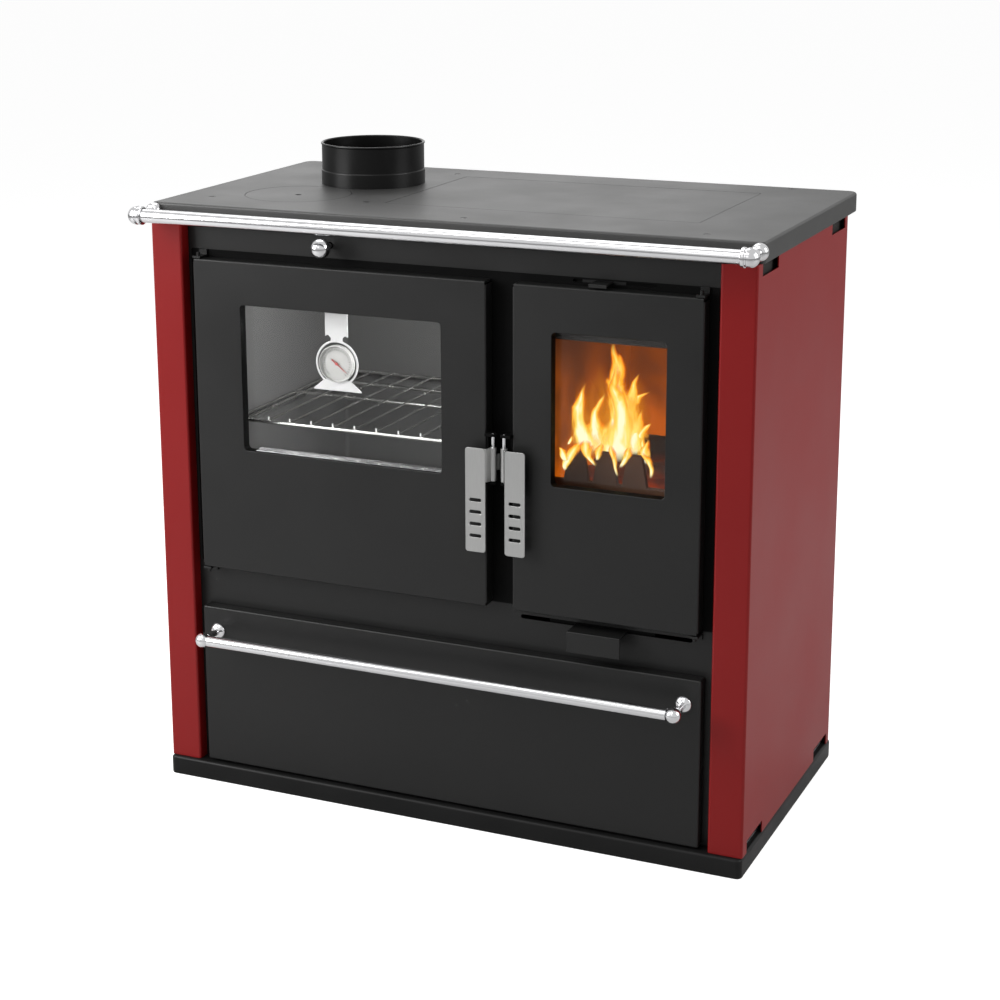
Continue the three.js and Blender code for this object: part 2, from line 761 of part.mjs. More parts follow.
/** Towel rail end: a capped cross fitting on the rail's line, with a post back to the hob. */
function buildTopRailEnd(group, name, side) {
  const r = TOP_FITTING_RADIUS;
  const groove = TOP_FITTING_GROOVE;
  const inward = -TOP_FITTING_INNER_LENGTH;
  const fitting = turned(
    [
      [0, inward],
      [r - groove, inward],
      [r, inward + groove],
      [r, -3.5 * groove],
      [r - groove, -3 * groove],
      [r - groove, -groove],
      ...arc(0, 0, r, 0, 90, 7),
    ].map(([radius, height]) => [Math.max(radius, 0), height]),
    24,
  ).rotateY((side * Math.PI) / 2);
  const reach = TOP_RAIL_STANDOFF - GAP;
  const post = turned(
    [
      [0, 0],
      [TOP_POST_RADIUS, 0],
      [TOP_POST_RADIUS, reach - TOP_BOSS_DEPTH],
      [TOP_BOSS_RADIUS - 2 * groove, reach - TOP_BOSS_DEPTH + groove],
      [TOP_BOSS_RADIUS, reach - TOP_BOSS_DEPTH + 3 * groove],
      [TOP_BOSS_RADIUS, reach],
      [0, reach],
    ],
    24,
  ).rotateX(-Math.PI / 2);
  const end = add(group, name, join(fitting, post), chrome);
  const y = HOB_FRONT_Y - TOP_RAIL_STANDOFF;
  end.position.set(side * TOP_RAIL_END_X, y, HOB_TOP - TOP_RAIL_BELOW_HOB_TOP);
}

/** Drawer rail end: a ball on a stem that stands on a domed flange. */
function buildDrawerRailEnd(group, name, side) {
  const reach = DRAWER_RAIL_STANDOFF - GAP;
  const dome = reach - DRAWER_DOME_HEIGHT;
  const stemStart = Math.sqrt(DRAWER_BALL_RADIUS ** 2 - DRAWER_STEM_RADIUS ** 2);
  const stemDegrees = THREE.MathUtils.radToDeg(Math.atan2(stemStart, DRAWER_STEM_RADIUS));
  const profile = [
    [0, -DRAWER_BALL_RADIUS],
    ...arc(0, 0, DRAWER_BALL_RADIUS, -78, stemDegrees, 9),
    [DRAWER_STEM_RADIUS, dome],
    [DRAWER_DOME_RADIUS * 0.62, dome + DRAWER_DOME_HEIGHT * 0.12],
    [DRAWER_DOME_RADIUS * 0.88, dome + DRAWER_DOME_HEIGHT * 0.4],
    [DRAWER_DOME_RADIUS, dome + DRAWER_DOME_HEIGHT * 0.75],
    [DRAWER_DOME_RADIUS, reach],
    [0, reach],
  ];
  const end = add(group, name, turned(profile, 24).rotateX(-Math.PI / 2), chrome);
  end.position.set(side * DRAWER_RAIL_END_X, DRAWER_FACE_Y - DRAWER_RAIL_STANDOFF, DRAWER_RAIL_Z);
}

const DRAWER_FACE_Y = FRONT_Y + DRAWER_FRONT_BEHIND_STRIP;

function buildTopRail(group) {
  const halfLength = TOP_RAIL_END_X - TOP_FITTING_INNER_LENGTH - GAP;
  const y = HOB_FRONT_Y - TOP_RAIL_STANDOFF;
  const z = HOB_TOP - TOP_RAIL_BELOW_HOB_TOP;
  buildRailTube(group, "top_rail_tube", halfLength, TOP_RAIL_RADIUS, y, z, 20);
  buildTopRailEnd(group, "top_rail_end_left", -1);
  buildTopRailEnd(group, "top_rail_end_right", 1);
}

// ---------------------------------------------------------------- doors

/** A rectangular ring in X and Z, from outer bounds inward by width. */
function frameShape({ left, right, bottom, top }, width, radius) {
  const shape = roundedRectangle(left, right, bottom, top, radius);
  shape.holes.push(
    roundedRectangle(
      left + width,
      right - width,
      bottom + width,
      top - width,
      Math.max(radius - width, 0.5),
    ),
  );
  return shape;
}

/** Bounds moved inward by the inset. */
function shrink({ left, right, bottom, top }, inset) {
  return {
    left: left + inset,
    right: right - inset,
    bottom: bottom + inset,
    top: top - inset,
  };
}

const outlineOf = (door) => ({
  left: door.left,
  right: door.right,
  bottom: DOOR_BOTTOM,
  top: DOOR_TOP,
});
const windowOf = (door) => ({
  left: door.windowLeft,
  right: door.windowRight,
  bottom: WINDOW_BOTTOM,
  top: WINDOW_TOP,
});
const hingeX = (door) =>
  door.hingeSide < 0 ? door.left + HINGE_INSET : door.right - HINGE_INSET;
const solidRectangle = (b, radius) =>
  roundedRectangle(b.left, b.right, b.bottom, b.top, radius);

/** Folded door skin: face with a window, four flanges, relieved corners and hinge pin holes. */
function doorSkin(door) {
  const outline = outlineOf(door);
  const slab = roundedSlab(
    (inset) => solidRectangle(shrink(outline, inset), DOOR_CORNER - inset),
    0,
    DOOR_DEPTH + DOOR_ROUNDING,
    DOOR_ROUNDING,
  )
    .rotateX(Math.PI / 2)
    .translate(0, DOOR_Y + DOOR_DEPTH + DOOR_ROUNDING, 0);
  const tools = [
    extrudeY(
      solidRectangle(shrink(outline, DOOR_SHEET), 1),
      DOOR_Y + DOOR_SHEET,
      DOOR_BACK_Y + 2 * DOOR_ROUNDING,
    ),
    box(
      outline.left - 1,
      outline.right + 1,
      DOOR_BACK_Y,
      DOOR_BACK_Y + 2 * DOOR_ROUNDING,
      outline.bottom - 1,
      outline.top + 1,
    ),
  ];
  for (const x of [outline.left, outline.right]) {
    const [x0, x1] = [x - DOOR_SHEET - GAP, x + DOOR_SHEET + GAP];
    const reliefY = DOOR_Y - 1;
    tools.push(box(x0, x1, reliefY, DOOR_BACK_Y + 1, outline.top - DOOR_RELIEF, outline.top + 1));
    tools.push(
      box(x0, x1, reliefY, DOOR_BACK_Y + 1, outline.bottom - 1, outline.bottom + DOOR_RELIEF),
    );
  }
  for (const z of [outline.bottom, outline.top]) {
    const hole = HINGE_PIN_RADIUS + HINGE_CLEARANCE;
    tools.push(bar("z", 4 * DOOR_SHEET, hole, hingeX(door), HINGE_Y, z, 12));
  }
  const hollow = cut(slab, ...tools);
  const reveal = frameShape(shrink(windowOf(door), -DOOR_SHEET), DOOR_SHEET, WINDOW_CORNER + 1);
  const withReveal = join(hollow, extrudeY(reveal, DOOR_Y + DOOR_SHEET / 2, REVEAL_BACK_Y));
  const opening = extrudeY(
    solidRectangle(windowOf(door), WINDOW_CORNER),
    DOOR_Y - 1,
    REVEAL_BACK_Y + 1,
  );
  return cut(withReveal, opening);
}

/** Inner door panel: a channel floor for the rope, stepped back to hold the glass. */
function doorInnerPanel(door) {
  const outer = shrink(outlineOf(door), DOOR_SHEET + DOOR_RELIEF / 4);
  const plateau = shrink(outlineOf(door), SEAL_INSET + SEAL_WIDTH + GAP);
  const floor = extrudeY(
    frameShape(outer, plateau.left - outer.left + DOOR_SHEET, 2),
    CHANNEL_Y - DOOR_SHEET,
    CHANNEL_Y,
  );
  const corner = PLATEAU_CORNER;
  const wall = frameShape(plateau, DOOR_SHEET, corner);
  const step = extrudeY(wall, CHANNEL_Y - DOOR_SHEET, PLATEAU_BACK_Y);
  const top = solidRectangle(plateau, corner);
  top.holes.push(solidRectangle(shrink(windowOf(door), -INNER_WINDOW_MARGIN), WINDOW_CORNER));
  return join(floor, step, extrudeY(top, PLATEAU_Y, PLATEAU_BACK_Y));
}

/** Position of a handle's pin beside the free edge of its door. */
function handlePin(door) {
  const edge = door.hingeSide < 0 ? door.right : door.left;
  return {
    x: edge - door.hingeSide * HANDLE_PIN_OUTSIDE_DOOR,
    y: DOOR_Y - HANDLE_PIN_AHEAD,
    edge,
  };
}

const UPPER_LUG_Z = HANDLE_TOP + HANDLE_PIN_SHOWING;
const LOWER_LUG_Z = HANDLE_TOP - HANDLE_WEB_HEIGHT - GAP - LUG_THICKNESS;

/** Bracket on the door's edge: a plate with two lugs that hold the handle's pin. */
function handleBracket(door) {
  const { x, y, edge } = handlePin(door);
  const out = -door.hingeSide;
  const [x0, x1] = span(edge, out, GAP, GAP + BRACKET_PLATE);
  const plateY = DOOR_Y + DOOR_ROUNDING;
  const plate = box(x0, x1, plateY, plateY + BRACKET_DEPTH, LOWER_LUG_Z, UPPER_LUG_Z + LUG_THICKNESS);
  const [lugX0, lugX1] = span(edge, out, GAP, HANDLE_PIN_OUTSIDE_DOOR);
  const lugs = [LOWER_LUG_Z, UPPER_LUG_Z].flatMap((z) => [
    box(lugX0, lugX1, y - LUG_RADIUS, plateY + BRACKET_DEPTH, z, z + LUG_THICKNESS),
    bar("z", LUG_THICKNESS, LUG_RADIUS, x, y, z + LUG_THICKNESS / 2, 16),
  ]);
  const pinHole = HANDLE_PIN_RADIUS + GAP;
  const holes = [LOWER_LUG_Z, UPPER_LUG_Z].map((z) =>
    bar("z", 3 * LUG_THICKNESS, pinHole, x, y, z + LUG_THICKNESS / 2, 16),
  );
  return cut(join(plate, ...lugs), ...holes);
}

/** Door handle: slotted plate, web back to a barrel on the pin, and the latch tongue behind. */
function doorHandle(door) {
  const { x, y } = handlePin(door);
  const side = door.hingeSide;
  const faceY = DOOR_Y - HANDLE_STANDOFF;
  const plateBack = faceY + HANDLE_THICKNESS;
  const inner = x + side * HANDLE_PLATE_FROM_PIN;
  const [x0, x1] = span(inner, side, 0, HANDLE_WIDTH);
  const bottom = HANDLE_TOP - HANDLE_HEIGHT;
  const face = roundedRectangle(x0, x1, bottom, HANDLE_TOP, HANDLE_CORNER);
  const middle = (x0 + x1) / 2;
  for (let i = 0; i < HANDLE_SLOT_COUNT; i += 1) {
    const z = HANDLE_TOP - HANDLE_FIRST_SLOT - i * HANDLE_SLOT_PITCH;
    const [halfWidth, halfHeight] = [HANDLE_SLOT_WIDTH / 2, HANDLE_SLOT_HEIGHT / 2];
    face.holes.push(
      roundedRectangle(middle - halfWidth, middle + halfWidth, z - halfHeight, z + halfHeight, 1.5),
    );
  }
  const plate = extrudeY(face, faceY, plateBack);
  const webTop = HANDLE_TOP;
  const webBottom = HANDLE_TOP - HANDLE_WEB_HEIGHT;
  const t = HANDLE_THICKNESS;
  const web = extrudeZ(
    polygon([
      [inner + side * t, faceY],
      [inner, faceY],
      [x - side * 0.5 * t, y - 0.5 * HANDLE_BARREL_RADIUS],
      [x + side * 1.5 * t, y - 0.5 * HANDLE_BARREL_RADIUS],
      [inner + side * 2 * t, plateBack],
    ]),
    webBottom,
    webTop,
  );
  const middleZ = (webTop + webBottom) / 2;
  const barrel = bar("z", HANDLE_WEB_HEIGHT, HANDLE_BARREL_RADIUS, x, y, middleZ, 20);
  const half = TONGUE_THICKNESS / 2;
  const hookX = x - side * (half + TONGUE_HOOK);
  const tongue = extrudeZ(
    polygon([
      [x + side * half, y + HANDLE_PIN_RADIUS],
      [x + side * half, y + TONGUE_REACH],
      [hookX, y + TONGUE_REACH],
      [hookX, y + TONGUE_REACH - TONGUE_THICKNESS],
      [x - side * half, y + TONGUE_REACH - TONGUE_THICKNESS],
      [x - side * half, y + HANDLE_PIN_RADIUS],
    ]),
    middleZ - TONGUE_HEIGHT / 2,
    middleZ + TONGUE_HEIGHT / 2,
  );
  const boreRadius = HANDLE_PIN_RADIUS + HANDLE_RUNNING_GAP;
  const bore = bar("z", HANDLE_WEB_HEIGHT + 2, boreRadius, x, y, middleZ, 16);
  return cut(join(plate, web, barrel, tongue), bore);
}

/** Hinge bracket on the front panel with its pin; up is +1 above a door and -1 below it. */
function hingeBracket(door, up) {
  const x = hingeX(door);
  const doorEdge = up > 0 ? DOOR_TOP : DOOR_BOTTOM;
  const half = HINGE_BRACKET_WIDTH / 2;
  const [tab0, tab1] = span(doorEdge, up, HINGE_CLEARANCE, HINGE_CLEARANCE + HINGE_BRACKET_THICKNESS);
  const [foot0, foot1] = span(doorEdge, up, HINGE_CLEARANCE, HINGE_CLEARANCE + HINGE_FOOT_HEIGHT);
  const tab = box(x - half, x + half, HINGE_Y - half, PANEL_Y - GAP, tab0, tab1);
  const footY = PANEL_Y - GAP - HINGE_BRACKET_THICKNESS;
  const foot = box(x - half, x + half, footY, PANEL_Y - GAP, foot0, foot1);
  const [pin0, pin1] = span(
    doorEdge,
    up,
    -HINGE_PIN_REACH,
    HINGE_CLEARANCE + HINGE_BRACKET_THICKNESS + HINGE_PIN_HEAD,
  );
  const pin = bar("z", pin1 - pin0, HINGE_PIN_RADIUS, x, HINGE_Y, (pin0 + pin1) / 2, 12);
  return join(tab, foot, pin);
}

function buildDoor(door) {
  const group = assembly();
  const { name } = door;
  add(group, `${name}_door_skin`, doorSkin(door), blackPaint);
  const glass = shrink(windowOf(door), -GLASS_LAP);
  add(
    group,
    `${name}_door_glass`,
    extrudeY(solidRectangle(glass, WINDOW_CORNER), GLASS_Y, GLASS_BACK_Y),
    windowGlass,
  );
  add(group, `${name}_door_inner_panel`, doorInnerPanel(door), darkIron);
  const rope = frameShape(shrink(outlineOf(door), SEAL_INSET), SEAL_WIDTH, SEAL_CORNER);
  add(
    group,
    `${name}_door_seal`,
    extrudeY(rope, SEAL_BACK_Y - SEAL_DEPTH, SEAL_BACK_Y, 3),
    sealRope,
  );
  add(group, `${name}_handle_bracket`, handleBracket(door), blackPaint);
  const { x, y } = handlePin(door);
  const pinBottom = LOWER_LUG_Z;
  const pinTop = UPPER_LUG_Z + LUG_THICKNESS;
  const pin = new THREE.CylinderGeometry(
    HANDLE_PIN_RADIUS,
    HANDLE_PIN_RADIUS,
    pinTop - pinBottom,
    16,
  ).rotateX(Math.PI / 2);
  add(group, `${name}_handle_pin`, pin, chrome).position.set(x, y, (pinTop + pinBottom) / 2);
  add(assembly(group), `${name}_handle`, doorHandle(door), brushedSteel);
  add(stove, `${name}_hinge_top`, hingeBracket(door, 1), blackPaint);
  add(stove, `${name}_hinge_bottom`, hingeBracket(door, -1), blackPaint);
  return group;
}

/** Keeper between the doors, with a lip beside each handle's hook. */
function buildLatchKeeper(group) {
  const left = handlePin(OVEN_DOOR);
  const right = handlePin(FIRE_DOOR);
  const middle = (left.x + right.x) / 2;
  const hook = TONGUE_THICKNESS / 2 + TONGUE_HOOK + KEEPER_SIDE_GAP;
  const z = HANDLE_TOP - HANDLE_WEB_HEIGHT / 2;
  const [z0, z1] = [z - KEEPER_HEIGHT / 2, z + KEEPER_HEIGHT / 2];
  const back = PANEL_Y - GAP;
  const lipY = left.y + TONGUE_REACH - TONGUE_THICKNESS;
  const half = KEEPER_BASE_WIDTH / 2;
  const keeper = join(
    box(middle - half, middle + half, back - KEEPER_LIP, back, z0, z1),
    box(middle - KEEPER_POST / 2, middle + KEEPER_POST / 2, lipY - KEEPER_LIP, back, z0, z1),
    box(left.x + hook, right.x - hook, lipY - KEEPER_LIP, lipY, z0, z1),
  );
  add(group, "latch_keeper", keeper, darkIron);
}

// ---------------------------------------------------------------- thermometer

function buildThermometer(doorGroup) {
  const group = assembly(doorGroup);
  group.position.set(DIAL_X, DIAL_PLATE_Y, DIAL_Z);
  const t = DIAL_PLATE_THICKNESS;
  const hookTop = WINDOW_TOP + 2 * INNER_WINDOW_MARGIN + DIAL_HOOK_HEIGHT - DIAL_Z;
  const hookFront = PLATEAU_BACK_Y + GAP - DIAL_PLATE_Y;
  const ring = circle(0, 0, DIAL_RING_RADIUS);
  const sheet = join(
    extrudeY(ring, 0, t, 16),
    box(-DIAL_STRAP_HALF_WIDTH, DIAL_STRAP_HALF_WIDTH, 0, t, DIAL_STRAP_BOTTOM, hookTop),
    box(-DIAL_NECK_HALF_WIDTH, DIAL_NECK_HALF_WIDTH, 0, t, 0, DIAL_STRAP_BOTTOM + 1),
    box(
      -DIAL_STRAP_HALF_WIDTH,
      DIAL_STRAP_HALF_WIDTH,
      hookFront,
      t,
      hookTop - DIAL_HOOK_HEIGHT,
      hookTop,
    ),
    extrudeY(
      polygon([
        [-DIAL_FOOT_HALF_WIDTH, DIAL_FOOT_BOTTOM],
        [DIAL_FOOT_HALF_WIDTH, DIAL_FOOT_BOTTOM],
        [DIAL_FOOT_TOP_HALF_WIDTH, DIAL_FOOT_TOP],
        [-DIAL_FOOT_TOP_HALF_WIDTH, DIAL_FOOT_TOP],
      ]),
      0,
      t,
    ),
  );
  const seat = extrudeY(circle(0, 0, DIAL_CASE_RADIUS + GAP), -1, t + 1, 16);
  add(group, "thermometer_plate", cut(sheet, seat), brushedSteel);
  const front = -DIAL_CASE_DEPTH / 2;
  const profile = [
    [0, DIAL_RIM_DEPTH],
    [DIAL_CASE_RADIUS - DIAL_RIM, DIAL_RIM_DEPTH],
    [DIAL_CASE_RADIUS - DIAL_RIM, 0],
    [DIAL_CASE_RADIUS, 0],
    [DIAL_CASE_RADIUS, DIAL_CASE_DEPTH],
    [0, DIAL_CASE_DEPTH],
  ];
  const dial = add(
    group,
    "thermometer_case",
    turned(profile, 32).rotateX(-Math.PI / 2),
    paleDial,
  );
  dial.position.y = front;
  const needle = assembly(group);
  needle.position.y = front + DIAL_RIM_DEPTH - GAP - NEEDLE_THICKNESS;
  needle.rotation.y = -THREE.MathUtils.degToRad(NEEDLE_ANGLE);
  const pointer = polygon([
    [-NEEDLE_TAIL, -NEEDLE_HALF_WIDTH],
    [NEEDLE_LENGTH, -NEEDLE_HALF_WIDTH / 2],
    [NEEDLE_LENGTH, NEEDLE_HALF_WIDTH / 2],
    [-NEEDLE_TAIL, NEEDLE_HALF_WIDTH],
  ]);
  const hub = circle(0, 0, NEEDLE_HUB_RADIUS);
  add(
    needle,
    "thermometer_needle",
    join(extrudeY(pointer, 0, NEEDLE_THICKNESS), extrudeY(hub, 0, NEEDLE_THICKNESS, 8)),
    redNeedle,
  );
}

// ---------------------------------------------------------------- drawer

const DRAWER_BOX_BOTTOM = DECK_TOP + GAP + RUNNER_LEDGE_HEIGHT + GAP;
const DRAWER_FRONT_BACK_Y = DRAWER_FACE_Y + DRAWER_FRONT_DEPTH;

function buildDrawer() {
  const group = assembly();
  const outline = {
    left: -DRAWER_HALF_WIDTH,
    right: DRAWER_HALF_WIDTH,
    bottom: DRAWER_BOTTOM,
    top: DRAWER_TOP,
  };
  const slab = roundedSlab(
    (inset) => solidRectangle(shrink(outline, inset), DRAWER_CORNER - inset),
    0,
    DRAWER_FRONT_DEPTH + DOOR_ROUNDING,
    DOOR_ROUNDING,
  )
    .rotateX(Math.PI / 2)
    .translate(0, DRAWER_FRONT_BACK_Y + DOOR_ROUNDING, 0);
  const pocket = extrudeY(
    solidRectangle(shrink(outline, DOOR_SHEET), 1),
    DRAWER_FACE_Y + DOOR_SHEET,
    DRAWER_FRONT_BACK_Y + 2 * DOOR_ROUNDING,
  );
  const trim = box(
    outline.left - 1,
    outline.right + 1,
    DRAWER_FRONT_BACK_Y,
    DRAWER_FRONT_BACK_Y + 2 * DOOR_ROUNDING,
    outline.bottom - 1,
    outline.top + 1,
  );
  add(group, "drawer_front", cut(slab, pocket, trim), blackPaint);
  const half = DRAWER_BOX_HALF_WIDTH;
  const boxFront = DRAWER_FACE_Y + DOOR_SHEET + GAP;
  const boxTop = DRAWER_BOX_BOTTOM + DRAWER_BOX_HEIGHT;
  const tray = cut(
    box(-half, half, boxFront, DRAWER_BOX_BACK, DRAWER_BOX_BOTTOM, boxTop),
    box(
      -half + DRAWER_SHEET,
      half - DRAWER_SHEET,
      boxFront + DRAWER_SHEET,
      DRAWER_BOX_BACK - DRAWER_SHEET,
      DRAWER_BOX_BOTTOM + DRAWER_SHEET,
      boxTop + 1,
    ),
  );
  add(group, "drawer_box", tray, zincSheet);
  const bore = DRAWER_RAIL_RADIUS - RAIL_WALL;
  const ballInset = Math.sqrt(DRAWER_BALL_RADIUS ** 2 - bore ** 2);
  const tubeHalf = DRAWER_RAIL_END_X - ballInset - GAP;
  const railY = DRAWER_FACE_Y - DRAWER_RAIL_STANDOFF;
  buildRailTube(group, "drawer_rail_tube", tubeHalf, DRAWER_RAIL_RADIUS, railY, DRAWER_RAIL_Z, 20);
  buildDrawerRailEnd(group, "drawer_rail_end_left", -1);
  buildDrawerRailEnd(group, "drawer_rail_end_right", 1);
}

/** Drawer runner: foot on the deck, upright guide and the ledge that the drawer slides on. */
function buildRunner(group, name, side) {
  const web = DRAWER_BOX_HALF_WIDTH + RUNNER_SIDE_GAP;
  const x = (outward) => side * (web + outward);
  const z0 = DECK_TOP + GAP;
  const ledge = z0 + RUNNER_LEDGE_HEIGHT;
  const profile = polygon([
    [x(0), z0],
    [x(RUNNER_FOOT), z0],
    [x(RUNNER_FOOT), z0 + SHEET],
    [x(SHEET), z0 + SHEET],
    [x(SHEET), z0 + RUNNER_GUIDE_HEIGHT],
    [x(0), z0 + RUNNER_GUIDE_HEIGHT],
    [x(0), ledge],
    [x(-RUNNER_LEDGE), ledge],
    [x(-RUNNER_LEDGE), ledge - SHEET],
    [x(0), ledge - SHEET],
  ]);
  add(group, name, extrudeY(profile, PANEL_BACK_Y + 2 * GAP, DRAWER_BOX_BACK), zincSheet);
}

// ---------------------------------------------------------------- damper and air levers

const DIVIDER_TOP = HOB_TOP - HOB_PLATE - GAP;
const DIVIDER_BOTTOM = DOOR_TOP - LINER_INSET + LINER_SHEET + GAP;

function buildDamper() {
  const group = assembly();
  const knob = new THREE.SphereGeometry(DAMPER_KNOB_RADIUS, 24, 16);
  const knobY = PANEL_Y - DAMPER_KNOB_AHEAD;
  add(group, "damper_knob", knob, chrome).position.set(DAMPER_X, knobY, DAMPER_Z);
  const rodFront = knobY + DAMPER_KNOB_RADIUS + GAP;
  const flapY = DIVIDER_Y + DIVIDER_THICKNESS + GAP + DAMPER_TRAVEL;
  const rodLength = flapY - GAP - rodFront;
  const rodMiddle = rodFront + rodLength / 2;
  add(
    group,
    "damper_rod",
    bar("y", rodLength, DAMPER_ROD_RADIUS, DAMPER_X, rodMiddle, DAMPER_Z, 12),
    chrome,
  );
  const flap = box(
    DAMPER_X - FLAP_HALF_WIDTH,
    DAMPER_X + FLAP_HALF_WIDTH,
    flapY,
    flapY + FLAP_THICKNESS,
    DAMPER_Z - FLAP_HALF_HEIGHT,
    DAMPER_Z + FLAP_HALF_HEIGHT,
  );
  add(group, "damper_flap", flap, darkIron);
}

function buildDivider(group) {
  const divider = cut(
    box(
      DAMPER_X - DIVIDER_HALF_WIDTH,
      DAMPER_X + DIVIDER_HALF_WIDTH,
      DIVIDER_Y,
      DIVIDER_Y + DIVIDER_THICKNESS,
      DIVIDER_BOTTOM,
      DIVIDER_TOP,
    ),
    box(
      DAMPER_X - FLAP_HALF_WIDTH + FLAP_LAP,
      DAMPER_X + FLAP_HALF_WIDTH - FLAP_LAP,
      DIVIDER_Y - 1,
      DIVIDER_Y + DIVIDER_THICKNESS + 1,
      DAMPER_Z - FLAP_HALF_HEIGHT + FLAP_LAP,
      DAMPER_Z + FLAP_HALF_HEIGHT - FLAP_LAP,
    ),
  );
  add(group, "flue_divider", divider, darkIron);
}

/** A bent tab that comes out of a slot in the front panel, with its shutter behind the panel. */
function slidingLever({ left, width, top, thickness, reach, drop, shutterWidth, shutterHeight }) {
  const shutterY = PANEL_BACK_Y + GAP;
  const frontY = PANEL_Y - reach;
  const profile = polygon([
    [frontY, top - drop],
    [frontY + thickness, top - drop],
    [frontY + thickness, top - thickness],
    [shutterY + thickness, top - thickness],
    [shutterY + thickness, top],
    [frontY, top],
  ]);
  const middle = left + width / 2;
  const shutter = box(
    middle - shutterWidth / 2,
    middle + shutterWidth / 2,
    shutterY,
    shutterY + thickness,
    top - shutterHeight / 2,
    top + shutterHeight / 2,
  );
  return join(extrudeX(profile, left, left + width), shutter);
}

function buildAirLevers() {
  const lower = slidingLever({
    left: AIR_TAB_LEFT,
    width: AIR_TAB_WIDTH,
    top: AIR_SLOT_BOTTOM + AIR_TAB_LIFT + AIR_TAB_THICKNESS,
    thickness: AIR_TAB_THICKNESS,
    reach: AIR_TAB_REACH,
    drop: AIR_TAB_HEIGHT,
    shutterWidth: AIR_SHUTTER_WIDTH,
    shutterHeight: AIR_SHUTTER_HEIGHT,
  });
  add(assembly(), "air_lever", lower, blackPaint);
  const upper = slidingLever({
    left: UPPER_TAB_LEFT,
    width: UPPER_TAB_WIDTH,
    top: UPPER_SLOT_BOTTOM + AIR_TAB_LIFT + UPPER_TAB_THICKNESS,
    thickness: UPPER_TAB_THICKNESS,
    reach: UPPER_TAB_REACH,
    drop: UPPER_TAB_LIP,
    shutterWidth: UPPER_SHUTTER_WIDTH,
    shutterHeight: UPPER_SHUTTER_HEIGHT,
  });
  add(assembly(), "upper_air_lever", upper, blackPaint);
}

// ---------------------------------------------------------------- oven

function buildOven(group) {
  const inner = openingOf(OVEN_DOOR);
  const front = PANEL_BACK_Y + GAP;
  const outer = shrink(inner, -LINER_SHEET);
  const flange = shrink(inner, -LINER_FLANGE);
  const shell = cut(
    join(
      box(outer.left, outer.right, front, OVEN_BACK + LINER_SHEET, outer.bottom, outer.top),
      box(flange.left, flange.right, front, front + LINER_SHEET, flange.bottom, flange.top),
    ),
    box(inner.left, inner.right, front - 1, OVEN_BACK, inner.bottom, inner.top),
  );
  const ledgeTop = RACK_Z - RACK_FRAME_RADIUS - GAP;
  const ledges = [inner.left, inner.right - RACK_LEDGE_WIDTH].map((x) =>
    box(x, x + RACK_LEDGE_WIDTH, front + GAP, OVEN_BACK, ledgeTop - RACK_LEDGE_THICKNESS, ledgeTop),
  );
  add(group, "oven_liner", join(shell, ...ledges), ovenSteel);
}

/** Wire rack: round frame and cross bars, thin wires over them with upturned front ends. */
function buildRack(group) {
  const inner = openingOf(OVEN_DOOR);
  const left = inner.left + RACK_SIDE_GAP + RACK_FRAME_RADIUS;
  const right = inner.right - RACK_SIDE_GAP - RACK_FRAME_RADIUS;
  const width = right - left;
  const depth = RACK_BACK - RACK_FRONT;
  const middleX = (left + right) / 2;
  const middleY = (RACK_FRONT + RACK_BACK) / 2;
  const crossLength = width + 2 * RACK_FRAME_RADIUS;
  const pieces = [RACK_FRONT, RACK_BACK, ...RACK_CROSS_BARS].map((y) =>
    bar("x", crossLength, RACK_FRAME_RADIUS, middleX, y, RACK_Z),
  );
  for (const x of [left, right]) {
    pieces.push(bar("y", depth + 1, RACK_SIDE_RADIUS, x, middleY, RACK_Z + 0.1));
  }
  const wireZ = RACK_Z + RACK_WIRE_LIFT;
  const count = Math.floor(width / RACK_WIRE_PITCH);
  const first = middleX - ((count - 1) * RACK_WIRE_PITCH) / 2;
  for (let i = 0; i < count; i += 1) {
    const x = first + i * RACK_WIRE_PITCH;
    pieces.push(bar("y", depth + RACK_FRAME_RADIUS, RACK_WIRE_RADIUS, x, middleY, wireZ, 6));
    const postZ = RACK_Z + RACK_POST_HEIGHT / 2 + RACK_WIRE_RADIUS / 2;
    pieces.push(bar("z", RACK_POST_HEIGHT, RACK_POST_RADIUS, x, RACK_FRONT - 0.5, postZ, 8));
  }
  add(group, "oven_rack", join(...pieces), chrome);
}

// ---------------------------------------------------------------- firebox

/** Inside of the firebox shell, wider than the panel's opening by a lining on each side. */
function fireboxInside() {
  const opening = openingOf(FIRE_DOOR);
  return {
    left: opening.left - BRICK_THICKNESS - GAP,
    right: opening.right + BRICK_THICKNESS + GAP,
    front: PANEL_BACK_Y + GAP,
    back: FIREBOX_BACK,
  };
}

function buildFireboxShell(group) {
  const { left, right, front, back } = fireboxInside();
  const w = FIREBOX_WALL;
  const shell = cut(
    box(left - w, right + w, front, back + w, FIREBOX_FLOOR - w, FIREBOX_TOP),
    box(left, right, front - 1, back, FIREBOX_FLOOR, FIREBOX_TOP + 1),
  );
  const ledgeZ = GRATE_Z - GAP;
  const ledges = [left, right - GRATE_LEDGE].map((x) =>
    box(x, x + GRATE_LEDGE, front, back, ledgeZ - GRATE_LEDGE_THICKNESS, ledgeZ),
  );
  add(group, "firebox_shell", join(shell, ...ledges), darkIron);
}

